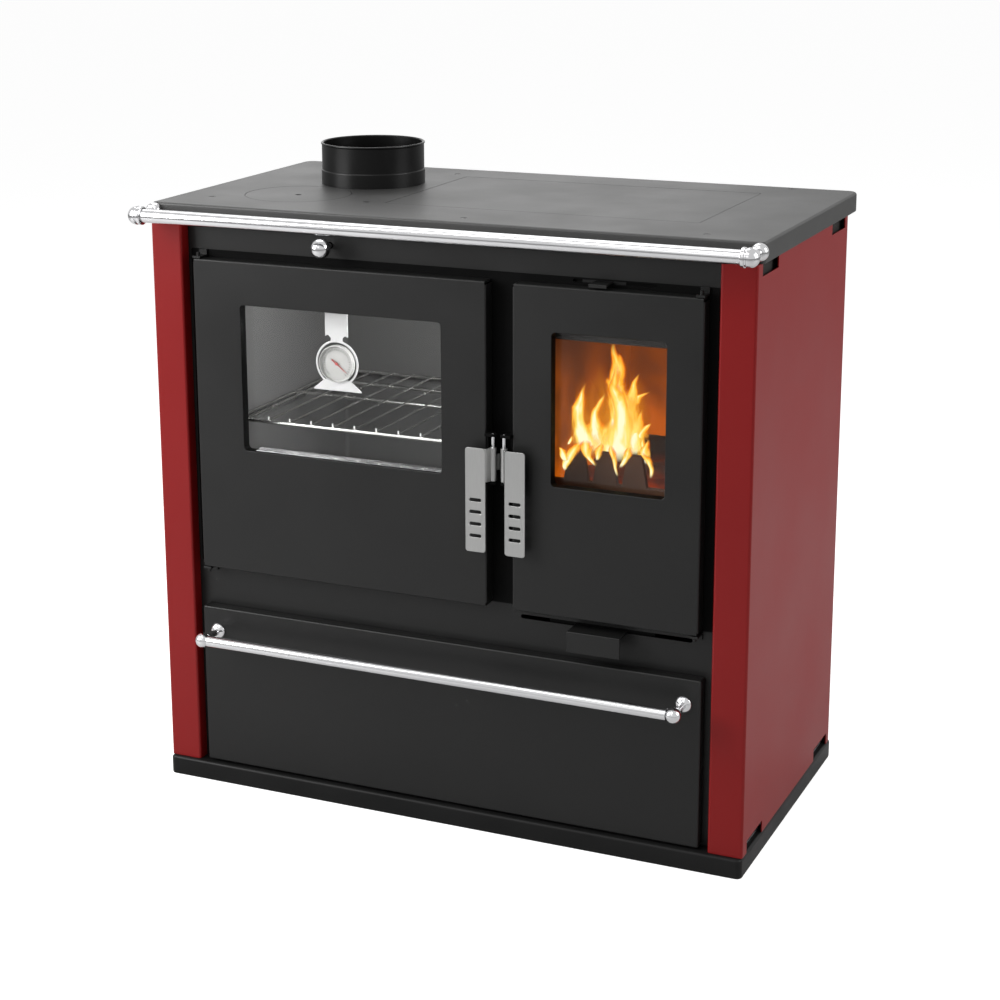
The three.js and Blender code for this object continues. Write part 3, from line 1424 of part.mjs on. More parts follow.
function buildLinings(group) {
  const { left, right, front, back } = fireboxInside();
  const z0 = GRATE_Z + GRATE_THICKNESS + GAP;
  const sideBack = back - BRICK_THICKNESS - 2 * GAP;
  const leftBrick = box(left + GAP, left + BRICK_THICKNESS, front + GAP, sideBack, z0, BRICK_TOP);
  const rightBrick = box(right - BRICK_THICKNESS, right - GAP, front + GAP, sideBack, z0, BRICK_TOP);
  const backY = back - BRICK_THICKNESS - GAP;
  const backBrick = box(left + GAP, right - GAP, backY, back - GAP, z0, BRICK_TOP);
  add(group, "firebrick_left", leftBrick, firebrick);
  add(group, "firebrick_right", rightBrick, firebrick);
  add(group, "firebrick_back", backBrick, firebrick);
}

function buildGrate(group) {
  const { left, right, front, back } = fireboxInside();
  const middle = (left + right) / 2;
  const slots = [];
  for (let i = 0; i < GRATE_SLOT_COUNT; i += 1) {
    const x = middle + (i - (GRATE_SLOT_COUNT - 1) / 2) * GRATE_SLOT_PITCH;
    const [x0, x1] = [x - GRATE_SLOT_WIDTH / 2, x + GRATE_SLOT_WIDTH / 2];
    slots.push(
      box(
        x0,
        x1,
        front + GRATE_SLOT_MARGIN,
        back - GRATE_SLOT_MARGIN,
        GRATE_Z - 1,
        GRATE_Z + GRATE_THICKNESS + 1,
      ),
    );
  }
  const slab = box(
    left + GAP,
    right - GAP,
    front + GAP,
    back - GAP,
    GRATE_Z,
    GRATE_Z + GRATE_THICKNESS,
  );
  add(group, "fire_grate", cut(slab, ...slots), darkIron);
}

/** Upright guard behind the fire door with tapered teeth along its top. */
function buildLogGuard(group) {
  const opening = openingOf(FIRE_DOOR);
  const z0 = GRATE_Z + GRATE_THICKNESS + GAP;
  const base = z0 + GUARD_BASE_HEIGHT;
  const tip = base + GUARD_TOOTH_HEIGHT;
  const points = [
    [opening.left + 2 * GAP, z0],
    [opening.right - 2 * GAP, z0],
    [opening.right - 2 * GAP, base],
  ];
  for (let i = GUARD_TOOTH_COUNT - 1; i >= 0; i -= 1) {
    const x = GUARD_CENTRE + (i - (GUARD_TOOTH_COUNT - 1) / 2) * GUARD_TOOTH_PITCH;
    points.push([x + GUARD_TOOTH_FOOT / 2, base]);
    points.push([x + GUARD_TOOTH_TOP / 2, tip]);
    points.push([x - GUARD_TOOTH_TOP / 2, tip]);
    points.push([x - GUARD_TOOTH_FOOT / 2, base]);
  }
  points.push([opening.left + 2 * GAP, base]);
  const y0 = PANEL_Y + GUARD_BEHIND_PANEL;
  add(group, "log_guard", extrudeY(polygon(points), y0, y0 + GUARD_THICKNESS), darkIron);
}

function buildAshPan(group) {
  const opening = openingOf(FIRE_DOOR);
  const { front, back } = fireboxInside();
  const [x0, x1] = [opening.left + ASH_PAN_SIDE_GAP, opening.right - ASH_PAN_SIDE_GAP];
  const y0 = front + 2 * ASH_PAN_SIDE_GAP;
  const y1 = back - 2 * ASH_PAN_SIDE_GAP;
  const z0 = FIREBOX_FLOOR + GAP;
  const z1 = z0 + ASH_PAN_HEIGHT;
  const s = ASH_PAN_SHEET;
  const tray = cut(
    box(x0, x1, y0, y1, z0, z1),
    box(x0 + s, x1 - s, y0 + s, y1 - s, z0 + s, z1 + 1),
  );
  const middle = (x0 + x1) / 2;
  const handle = box(
    middle - ASH_PAN_HANDLE / 2,
    middle + ASH_PAN_HANDLE / 2,
    y0 - ASH_PAN_SIDE_GAP,
    y0 + s,
    z1 - 2 * s,
    z1,
  );
  add(group, "ash_pan", join(tray, handle), zincSheet);
}

// ---------------------------------------------------------------- the stove

const body = assembly();
buildBase(body);
buildSidePanel(body, "side_panel_left", -1);
buildSidePanel(body, "side_panel_right", 1);
buildInnerWall(body, "inner_wall_left", -1);
buildInnerWall(body, "inner_wall_right", 1);
buildPanels(body);
buildHob(body);
buildFlueCollar(body);
buildTopRail(body);
buildOven(body);
buildRack(body);
buildDivider(body);
buildFireboxShell(body);
buildLinings(body);
buildGrate(body);
buildLogGuard(body);
buildAshPan(body);
buildLatchKeeper(body);
buildRunner(body, "drawer_runner_left", -1);
buildRunner(body, "drawer_runner_right", 1);
buildRoundLid(assembly());
buildCookPlate(assembly());
buildThermometer(buildDoor(OVEN_DOOR));
buildDoor(FIRE_DOOR);
buildDrawer();
buildDamper();
buildAirLevers();

export default stove;
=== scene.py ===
"""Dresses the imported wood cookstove: fine shapes, finishes, fire, studio and camera.

Sizes are millimetres in the stove's own frame: the origin is on the floor under the middle
of the base, -Y points out of the front, +X to the viewer's right and +Z up.
"""

import logging
import math
import random
from dataclasses import dataclass, field
from enum import Enum
from typing import Callable, Optional, Sequence, Union

import bmesh  # noqa: E402
import bpy  # noqa: E402
from mathutils import Matrix, Vector  # noqa: E402


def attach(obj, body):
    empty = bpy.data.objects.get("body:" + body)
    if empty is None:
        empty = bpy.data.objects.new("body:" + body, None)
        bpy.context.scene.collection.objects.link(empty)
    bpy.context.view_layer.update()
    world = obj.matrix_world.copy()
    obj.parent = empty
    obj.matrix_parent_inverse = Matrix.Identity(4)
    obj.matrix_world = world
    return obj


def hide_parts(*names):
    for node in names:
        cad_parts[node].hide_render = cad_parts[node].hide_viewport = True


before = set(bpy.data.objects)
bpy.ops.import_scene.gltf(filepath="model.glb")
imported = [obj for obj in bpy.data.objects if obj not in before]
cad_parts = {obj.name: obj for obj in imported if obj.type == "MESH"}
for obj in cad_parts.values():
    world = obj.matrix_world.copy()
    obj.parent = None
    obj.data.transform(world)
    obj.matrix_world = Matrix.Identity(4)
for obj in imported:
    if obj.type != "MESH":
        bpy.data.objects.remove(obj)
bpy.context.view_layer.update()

LOG = logging.getLogger("cookstove")
MM = 0.001
Point = tuple[float, float, float]
Flat = tuple[float, float]
Object = bpy.types.Object
NodeTree = bpy.types.NodeTree
Node = bpy.types.Node
Socket = bpy.types.NodeSocket
Operand = Union[Socket, float]
Material = bpy.types.Material


class Plane(Enum):
    """Which way a flat outline is laid out and which way it is thickened."""

    XZ = "front view, thickened along Y"
    XY = "plan view, thickened along Z"
    YZ = "side view, thickened along X"


class Slot(Enum):
    """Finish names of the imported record."""

    RED = "red_enamel"
    BLACK = "black_paint"
    HOB = "hob_steel"
    CHROME = "chrome"
    BRUSHED = "brushed_steel"
    IRON = "dark_iron"
    ZINC = "zinc_sheet"
    OVEN = "oven_steel"
    BRICK = "firebrick"
    ROPE = "seal_rope"
    DIAL = "pale_dial"
    NEEDLE = "red_needle"
    GLASS = "window_glass"


# ------------------------------------------------------------------ meshes


def place(plane: Plane, a: float, b: float, depth: float) -> Point:
    """Turns two outline coordinates and a depth into a point of the stove's frame."""
    if plane is Plane.XZ:
        return (a, depth, b)
    if plane is Plane.XY:
        return (a, b, depth)
    return (depth, a, b)


def clean(mesh: bpy.types.Mesh, angle: float = 32.0) -> None:
    """Merges doubles, turns faces outward and shades smooth up to an angle.

    Args:
        mesh: The mesh to clean in place.
        angle: Edges bent more than this many degrees stay sharp.
    """
    work = bmesh.new()
    work.from_mesh(mesh)
    bmesh.ops.remove_doubles(work, verts=work.verts, dist=1e-6)
    bmesh.ops.recalc_face_normals(work, faces=work.faces)
    work.to_mesh(mesh)
    work.free()
    mesh.shade_smooth()
    mesh.set_sharp_from_angle(angle=math.radians(angle))


def new_piece(name: str, points: Sequence[Point], faces: Sequence[Sequence[int]]) -> Object:
    """Makes an object from points in millimetres and faces.

    Args:
        name: Piece name.
        points: Vertices in millimetres.
        faces: Vertex indices of each face.

    Returns:
        The linked object, at the origin.
    """
    mesh = bpy.data.meshes.new(name)
    mesh.from_pydata([tuple(c * MM for c in p) for p in points], [], [list(f) for f in faces])
    clean(mesh)
    piece = bpy.data.objects.new(name, mesh)
    bpy.context.scene.collection.objects.link(piece)
    return piece


def settle(piece: Object) -> Object:
    """Applies a piece's modifiers to a plain mesh and returns the piece.

    Args:
        piece: A mesh or curve piece.

    Returns:
        The same piece with its final mesh.
    """
    bpy.context.view_layer.update()
    graph = bpy.context.evaluated_depsgraph_get()
    mesh = bpy.data.meshes.new_from_object(piece.evaluated_get(graph), depsgraph=graph)
    if piece.type == "MESH":
        old = piece.data
        piece.modifiers.clear()
        piece.data = mesh
        bpy.data.meshes.remove(old)
        return piece
    fresh = bpy.data.objects.new(piece.name, mesh)
    bpy.context.scene.collection.objects.link(fresh)
    name = piece.name
    bpy.data.objects.remove(piece)
    fresh.name = name
    return fresh


def soften(piece: Object, width: float, segments: int = 2, angle: float = 40.0) -> Object:
    """Rounds the sharp edges of a piece and evens its normals.

    Args:
        piece: The piece to finish.
        width: Rounding in millimetres.
        segments: Steps across the rounding.
        angle: Edges bent more than this many degrees are rounded.

    Returns:
        The piece, with plain mesh data.
    """
    bevel = piece.modifiers.new("edges", "BEVEL")
    bevel.width = width * MM
    bevel.segments = segments
    bevel.limit_method = "ANGLE"
    bevel.angle_limit = math.radians(angle)
    bevel.use_clamp_overlap = False
    bevel.miter_outer = "MITER_ARC"
    piece.modifiers.new("normals", "WEIGHTED_NORMAL").keep_sharp = True
    piece = settle(piece)
    return piece


def even(piece: Object) -> Object:
    """Gives a piece area-weighted normals so that its flats stay flat."""
    piece.modifiers.new("normals", "WEIGHTED_NORMAL").keep_sharp = True
    return settle(piece)


def carve(piece: Object, cutters: Sequence[Object], operation: str = "DIFFERENCE") -> Object:
    """Cuts or joins pieces with exact booleans and deletes the tools.

    Args:
        piece: The piece that is kept.
        cutters: The tools.
        operation: DIFFERENCE or UNION.

    Returns:
        The piece, with plain mesh data.
    """
    for tool in cutters:
        step = piece.modifiers.new("cut", "BOOLEAN")
        step.operation = operation
        step.solver = "EXACT"
        step.object = tool
    piece = settle(piece)
    for tool in cutters:
        bpy.data.objects.remove(tool)
    clean(piece.data)
    return piece


def block(name: str, low: Point, high: Point) -> Object:
    """Makes a plain block that serves as a cutting tool."""
    corners = [(x, y, z) for x in (low[0], high[0]) for y in (low[1], high[1]) for z in (low[2], high[2])]
    faces = [(0, 1, 3, 2), (4, 6, 7, 5), (0, 4, 5, 1), (2, 3, 7, 6), (0, 2, 6, 4), (1, 5, 7, 3)]
    return new_piece(name, corners, faces)


@dataclass(frozen=True)
class Bounds:
    """A rectangle of an outline, in millimetres."""

    left: float
    right: float
    low: float
    high: float

    def shrink(self, inset: float) -> "Bounds":
        """Moves all four sides inward."""
        return Bounds(self.left + inset, self.right - inset, self.low + inset, self.high - inset)

    def loop(self, radii: Sequence[float], steps: int = 6) -> list[Flat]:
        """Outline with round corners, anticlockwise from the lower left.

        Args:
            radii: Corner radii: lower left, lower right, upper right, upper left.
            steps: Segments per corner.

        Returns:
            The outline's points; every outline with the same steps has as many.
        """
        a, b, c, d = [max(r, 0.05) for r in radii]
        centres = [
            (self.left + a, self.low + a, a, 180),
            (self.right - b, self.low + b, b, 270),
            (self.right - c, self.high - c, c, 0),
            (self.left + d, self.high - d, d, 90),
        ]
        points = []
        for x, y, radius, start in centres:
            for i in range(steps + 1):
                angle = math.radians(start + 90 * i / steps)
                points.append((x + radius * math.cos(angle), y + radius * math.sin(angle)))
        return points


@dataclass(frozen=True)
class Section:
    """One outline of a loft: its bounds, corner radii and depth."""

    bounds: Bounds
    radii: tuple[float, float, float, float]
    depth: float


def section(bounds: Bounds, radius: float, depth: float) -> Section:
    """A section whose four corners share one radius."""
    return Section(bounds, (radius,) * 4, depth)


def loft(name: str, sections: Sequence[Section], plane: Plane, ring: bool = False) -> Object:
    """Skins outlines in order, closing it to a ring or capping both ends.

    Args:
        name: Piece name.
        sections: The outlines in order along the skin.
        plane: How outlines are laid out.
        ring: Whether the last outline joins the first one.

    Returns:
        The skinned piece.
    """
    points: list[Point] = []
    for part in sections:
        points += [place(plane, a, b, part.depth) for a, b in part.bounds.loop(part.radii)]
    count = len(points) // len(sections)
    faces: list[list[int]] = []
    spans = len(sections) if ring else len(sections) - 1
    for row in range(spans):
        here, there = row * count, ((row + 1) % len(sections)) * count
        for i in range(count):
            j = (i + 1) % count
            faces.append([here + i, here + j, there + j, there + i])
    if not ring:
        faces.append(list(range(count)))
        faces.append([(len(sections) - 1) * count + i for i in range(count)])
    return new_piece(name, points, faces)


def rounding(
    bounds: Bounds, radius: float, edge: float, face: float, roll: float, steps: int = 4
) -> list[Section]:
    """Sections that roll from a side wall over an edge onto a face.

    Args:
        bounds: Outline of the side wall.
        radius: Corner radius of that outline.
        edge: Direction from wall depth to face depth: -1 or +1.
        face: Depth of the face.
        roll: Rounding radius.
        steps: Segments of the roll.

    Returns:
        Sections from the wall to the face.
    """
    rolled = []
    for i in range(steps + 1):
        angle = math.radians(90 * i / steps)
        inset = roll * (1 - math.cos(angle))
        depth = face - edge * roll * (1 - math.sin(angle))
        rolled.append(section(bounds.shrink(inset), radius - inset, depth))
    return rolled


def turned(
    name: str, profile: Sequence[Flat], centre: Point, axis: Vector, steps: int = 64
) -> Object:
    """Turns a profile of (radius, height) about an axis through a centre.

    Args:
        name: Piece name.
        profile: Points from one end of the axis to the other.
        centre: Where height zero lies, in millimetres.
        axis: Direction of growing height.
        steps: Segments around.

    Returns:
        The turned piece.
    """
    turn = axis.to_track_quat("Z", "Y").to_matrix()
    points: list[Point] = []
    for radius, height in profile:
        for i in range(steps):
            angle = 2 * math.pi * i / steps
            spot = turn @ Vector((radius * math.cos(angle), radius * math.sin(angle), height))
            points.append(tuple(spot + Vector(centre)))
    faces = []
    closed = profile[0] == profile[-1]
    for row in range(len(profile) - 1):
        for i in range(steps):
            j = (i + 1) % steps
            here, there = row * steps, (row + 1) * steps
            faces.append([here + i, here + j, there + j, there + i])
    if not closed:
        faces.append([i for i in range(steps)])
        faces.append([(len(profile) - 1) * steps + i for i in range(steps)])
    return new_piece(name, points, faces)


def arc(
    radius_centre: float, height_centre: float, radius: float, start: float, end: float, steps: int
) -> list[Flat]:
    """Points of an arc in a turned profile.

    Args:
        radius_centre: Centre's distance from the axis.
        height_centre: Centre's height along the axis.
        radius: Radius of the arc.
        start: First angle in degrees.
        end: Last angle in degrees.
        steps: Number of segments.

    Returns:
        The points, first and last included.
    """
    points = []
    for i in range(steps + 1):
        angle = math.radians(start + (end - start) * i / steps)
        along = radius_centre + radius * math.cos(angle)
        points.append((max(along, 0.0), height_centre + radius * math.sin(angle)))
    return points


def plate(
    name: str,
    outline: Sequence[Flat],
    holes: Sequence[Sequence[Flat]],
    low: float,
    high: float,
    plane: Plane,
) -> Object:
    """A flat plate with holes.

    Args:
        name: Piece name.
        outline: Outer outline.
        holes: Outlines of the holes.
        low: Lowest depth.
        high: Highest depth.
        plane: How the outline is laid out.

    Returns:
        The plate, with sharp edges.
    """
    work = bmesh.new()
    for shape in (outline, *holes):
        spots = [work.verts.new(tuple(c * MM for c in place(plane, a, b, low))) for a, b in shape]
        for i, spot in enumerate(spots):
            work.edges.new((spot, spots[(i + 1) % len(spots)]))
    bmesh.ops.triangle_fill(work, use_beauty=True, edges=work.edges[:])
    grown = bmesh.ops.extrude_face_region(work, geom=work.faces[:])
    moved = [item for item in grown["geom"] if isinstance(item, bmesh.types.BMVert)]
    shift = Vector(place(plane, 0, 0, (high - low) * MM))
    bmesh.ops.translate(work, verts=moved, vec=shift)
    mesh = bpy.data.meshes.new(name)
    work.to_mesh(mesh)
    work.free()
    clean(mesh)
    piece = bpy.data.objects.new(name, mesh)
    bpy.context.scene.collection.objects.link(piece)
    return piece


def round_outline(x: float, y: float, radius: float, steps: int = 48) -> list[Flat]:
    """A circle as an outline."""
    return [
        (x + radius * math.cos(2 * math.pi * i / steps), y + radius * math.sin(2 * math.pi * i / steps))
        for i in range(steps)
    ]


def sheet_outline(path: Sequence[Flat], thickness: float, bend: float, steps: int = 6) -> list[Flat]:
    """Outline of a bent sheet whose middle line follows a path.

    Args:
        path: Middle line of the sheet.
        thickness: Sheet thickness.
        bend: Bend radius of the middle line.
        steps: Segments of each bend.

    Returns:
        A closed outline.
    """
    spots: list[tuple[Vector, Vector]] = []
    nodes = [Vector(p) for p in path]
    for i, node in enumerate(nodes):
        if i in (0, len(nodes) - 1):
            along = (nodes[1] - nodes[0]) if i == 0 else (nodes[-1] - nodes[-2])
            along.normalize()
            spots.append((node, Vector((-along.y, along.x))))
            continue
        before = (node - nodes[i - 1]).normalized()
        after = (nodes[i + 1] - node).normalized()
        turn = before.angle_signed(after, 0.0)
        reach = bend * math.tan(abs(turn) / 2)
        start = node - before * reach
        sign = -1.0 if turn > 0 else 1.0
        side = Vector((-before.y, before.x)) * sign
        centre = start + side * bend
        for k in range(steps + 1):
            spin = Matrix.Rotation(sign * abs(turn) * k / steps, 2)
            arm = spin @ (start - centre)
            normal = spin @ Vector((-before.y, before.x))
            spots.append((centre + arm, normal))
    half = thickness / 2
    left = [tuple(p + n * half) for p, n in spots]
    right = [tuple(p - n * half) for p, n in spots]
    return left + right[::-1]


def refine(node: str, rounding_mm: float = 0.0, segments: int = 2) -> Object:
    """Copies a CAD node, merges its triangles and rounds its edges.

    Args:
        node: CAD node to stand in for.
        rounding_mm: Edge rounding; zero keeps the edges sharp.
        segments: Steps across the rounding.

    Returns:
        The finer copy, ready to replace the node.
    """
    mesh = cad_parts[node].data.copy()
    work = bmesh.new()
    work.from_mesh(mesh)
    bmesh.ops.remove_doubles(work, verts=work.verts, dist=2e-6)
    bmesh.ops.dissolve_limit(work, angle_limit=0.005, verts=work.verts, edges=work.edges)
    work.to_mesh(mesh)
    work.free()
    for layer in list(mesh.attributes):
        if layer.name == "custom_normal":
            mesh.attributes.remove(layer)
    mesh.materials.clear()
    clean(mesh)
    piece = bpy.data.objects.new(node + "_fine", mesh)
    bpy.context.scene.collection.objects.link(piece)
    return soften(piece, rounding_mm, segments) if rounding_mm else even(piece)


def tube_along(name: str, path: Sequence[Point], radius: float, sides: int = 3) -> Object:
    """A round wire along a path, with closed ends.

    Args:
        name: Name of the piece.
        path: Points of the wire's middle.
        radius: Radius of the wire.
        sides: Bevel resolution.

    Returns:
        The wire as a mesh.
    """
    curve = bpy.data.curves.new(name, "CURVE")
    curve.dimensions = "3D"
    curve.bevel_depth = radius * MM
    curve.bevel_resolution = sides
    curve.use_fill_caps = True
    spline = curve.splines.new("POLY")
    spline.points.add(len(path) - 1)
    for spot, target in zip(spline.points, path):
        spot.co = (*[c * MM for c in target], 1.0)
    wire = bpy.data.objects.new(name, curve)
    bpy.context.scene.collection.objects.link(wire)
    wire = settle(wire)
    clean(wire.data, 50)
    return wire


def weld(name: str, parts: Sequence[Object]) -> Object:
    """Joins several meshes into one object.

    Args:
        name: Name of the piece.
        parts: Meshes to join; they are deleted.

    Returns:
        The joined piece.
    """
    work = bmesh.new()
    for part in parts:
        work.from_mesh(part.data)
    mesh = bpy.data.meshes.new(name)
    work.to_mesh(mesh)
    work.free()
    for part in parts:
        bpy.data.objects.remove(part)
    mesh.materials.clear()
    mesh.shade_smooth()
    mesh.set_sharp_from_angle(angle=math.radians(32))
    piece = bpy.data.objects.new(name, mesh)
    bpy.context.scene.collection.objects.link(piece)
    return piece


# ------------------------------------------------------------------ shared shader groups


def node_group(
    name: str, inputs: dict[str, tuple[str, float]], outputs: dict[str, str]
) -> tuple[NodeTree, Node, Node]:
    """Starts a shader node group with named sockets.

    Args:
        name: Group name.
        inputs: Socket name to (socket type, default value).
        outputs: Socket name to socket type.

    Returns:
        The group tree, its input node and its output node.
    """
    tree = bpy.data.node_groups.new(name, "ShaderNodeTree")
    for label, (kind, value) in inputs.items():
        socket = tree.interface.new_socket(label, in_out="INPUT", socket_type=kind)
        if kind == "NodeSocketFloat":
            socket.default_value = value
    for label, kind in outputs.items():
        tree.interface.new_socket(label, in_out="OUTPUT", socket_type=kind)
    entry = tree.nodes.new("NodeGroupInput")
    leave = tree.nodes.new("NodeGroupOutput")
    return tree, entry, leave


def math_node(
    tree: NodeTree, operation: str, first: Operand, second: Optional[Operand], clamp: bool = False
) -> Socket:
    """Adds a math node; its operands are sockets or numbers.

    Args:
        tree: Shader or geometry tree.
        operation: Name of the operation.
        first: First operand.
        second: Second operand, or None.
        clamp: Whether the result stays from 0 to 1.

    Returns:
        The result's socket.
    """
    unit = tree.nodes.new("ShaderNodeMath")
    unit.operation = operation
    unit.use_clamp = clamp
    for index, operand in enumerate((first, second)):
        if isinstance(operand, (int, float)):
            unit.inputs[index].default_value = operand
        elif operand is not None:
            tree.links.new(operand, unit.inputs[index])
    return unit.outputs[0]


def build_grain_group() -> NodeTree:
    """Group: fine texture of a coating, as a height and as a slow blotch value."""
    tree, entry, leave = node_group(
        "coating_grain",
        {
            "Vector": ("NodeSocketVector", 0.0),
            "Grain Scale": ("NodeSocketFloat", 900.0),
            "Blotch Scale": ("NodeSocketFloat", 6.0),
        },
        {"Height": "NodeSocketFloat", "Blotch": "NodeSocketFloat"},
    )
    for scale, detail, target in (("Grain Scale", 2.0, "Height"), ("Blotch Scale", 4.0, "Blotch")):
        noise = tree.nodes.new("ShaderNodeTexNoise")
        noise.inputs["Detail"].default_value = detail
        tree.links.new(entry.outputs["Vector"], noise.inputs["Vector"])
        tree.links.new(entry.outputs[scale], noise.inputs["Scale"])
        tree.links.new(noise.outputs["Fac"], leave.inputs[target])
    return tree


def build_brush_group() -> NodeTree:
    """Group: long fine scratches along one axis, as a height and a roughness value."""
    tree, entry, leave = node_group(
        "brush_lines",
        {
            "Vector": ("NodeSocketVector", 0.0),
            "Across": ("NodeSocketFloat", 2600.0),
            "Along": ("NodeSocketFloat", 60.0),
        },
        {"Height": "NodeSocketFloat", "Streak": "NodeSocketFloat"},
    )
    scale = tree.nodes.new("ShaderNodeCombineXYZ")
    tree.links.new(entry.outputs["Across"], scale.inputs["X"])
    tree.links.new(entry.outputs["Across"], scale.inputs["Y"])
    tree.links.new(entry.outputs["Along"], scale.inputs["Z"])
    stretched = tree.nodes.new("ShaderNodeVectorMath")
    stretched.operation = "MULTIPLY"
    tree.links.new(entry.outputs["Vector"], stretched.inputs[0])
    tree.links.new(scale.outputs[0], stretched.inputs[1])
    noise = tree.nodes.new("ShaderNodeTexNoise")
    noise.inputs["Scale"].default_value = 1.0
    noise.inputs["Detail"].default_value = 3.0
    tree.links.new(stretched.outputs[0], noise.inputs["Vector"])
    tree.links.new(noise.outputs["Fac"], leave.inputs["Height"])
    tree.links.new(noise.outputs["Fac"], leave.inputs["Streak"])
    return tree


# ------------------------------------------------------------------ finishes


@dataclass(frozen=True)
class Finish:
    """A surface finish: shader constants plus how its texture varies."""

    name: str
    color: tuple[float, float, float]
    accent: tuple[float, float, float]
    roughness: float
    metallic: float = 0.0
    specular: float = 0.5
    coat: float = 0.0
    coat_roughness: float = 0.1
    grain: float = 900.0
    blotch: float = 6.0
    bump: float = 0.02
    variation: float = 0.06
    brushed: bool = False

    def build(self, groups: dict[str, object]) -> Material:
        """Makes the material from the shared groups.

        Args:
            groups: The shader groups by name.

        Returns:
            The material.
        """
        material = bpy.data.materials.new(self.name)
        material.use_nodes = True
        tree = material.node_tree
        shader = tree.nodes["Principled BSDF"]
        shader.inputs["Metallic"].default_value = self.metallic
        shader.inputs["Specular IOR Level"].default_value = self.specular
        shader.inputs["Coat Weight"].default_value = self.coat
        shader.inputs["Coat Roughness"].default_value = self.coat_roughness
        where = tree.nodes.new("ShaderNodeTexCoord")
        texture = tree.nodes.new("ShaderNodeGroup")
        if self.brushed:
            texture.node_tree = groups["brush"]
            texture.inputs["Across"].default_value = self.grain
            texture.inputs["Along"].default_value = self.blotch
            slow = texture.outputs["Streak"]
        else:
            texture.node_tree = groups["grain"]
            texture.inputs["Grain Scale"].default_value = self.grain
            texture.inputs["Blotch Scale"].default_value = self.blotch
            slow = texture.outputs["Blotch"]
        tree.links.new(where.outputs["Object"], texture.inputs["Vector"])
        mix = tree.nodes.new("ShaderNodeMix")
        mix.data_type = "RGBA"
        mix.inputs[6].default_value = (*self.color, 1)
        mix.inputs[7].default_value = (*self.accent, 1)
        tree.links.new(slow, mix.inputs[0])
        tree.links.new(mix.outputs[2], shader.inputs["Base Color"])
        spread = tree.nodes.new("ShaderNodeMapRange")
        spread.inputs["From Min"].default_value = 0.3
        spread.inputs["From Max"].default_value = 0.7
        spread.inputs["To Min"].default_value = self.roughness - self.variation
        spread.inputs["To Max"].default_value = self.roughness + self.variation
        tree.links.new(slow, spread.inputs["Value"])
        tree.links.new(spread.outputs[0], shader.inputs["Roughness"])
        bump = tree.nodes.new("ShaderNodeBump")
        bump.inputs["Strength"].default_value = self.bump
        bump.inputs["Distance"].default_value = 0.0004
        tree.links.new(texture.outputs["Height"], bump.inputs["Height"])
        tree.links.new(bump.outputs[0], shader.inputs["Normal"])
        return material


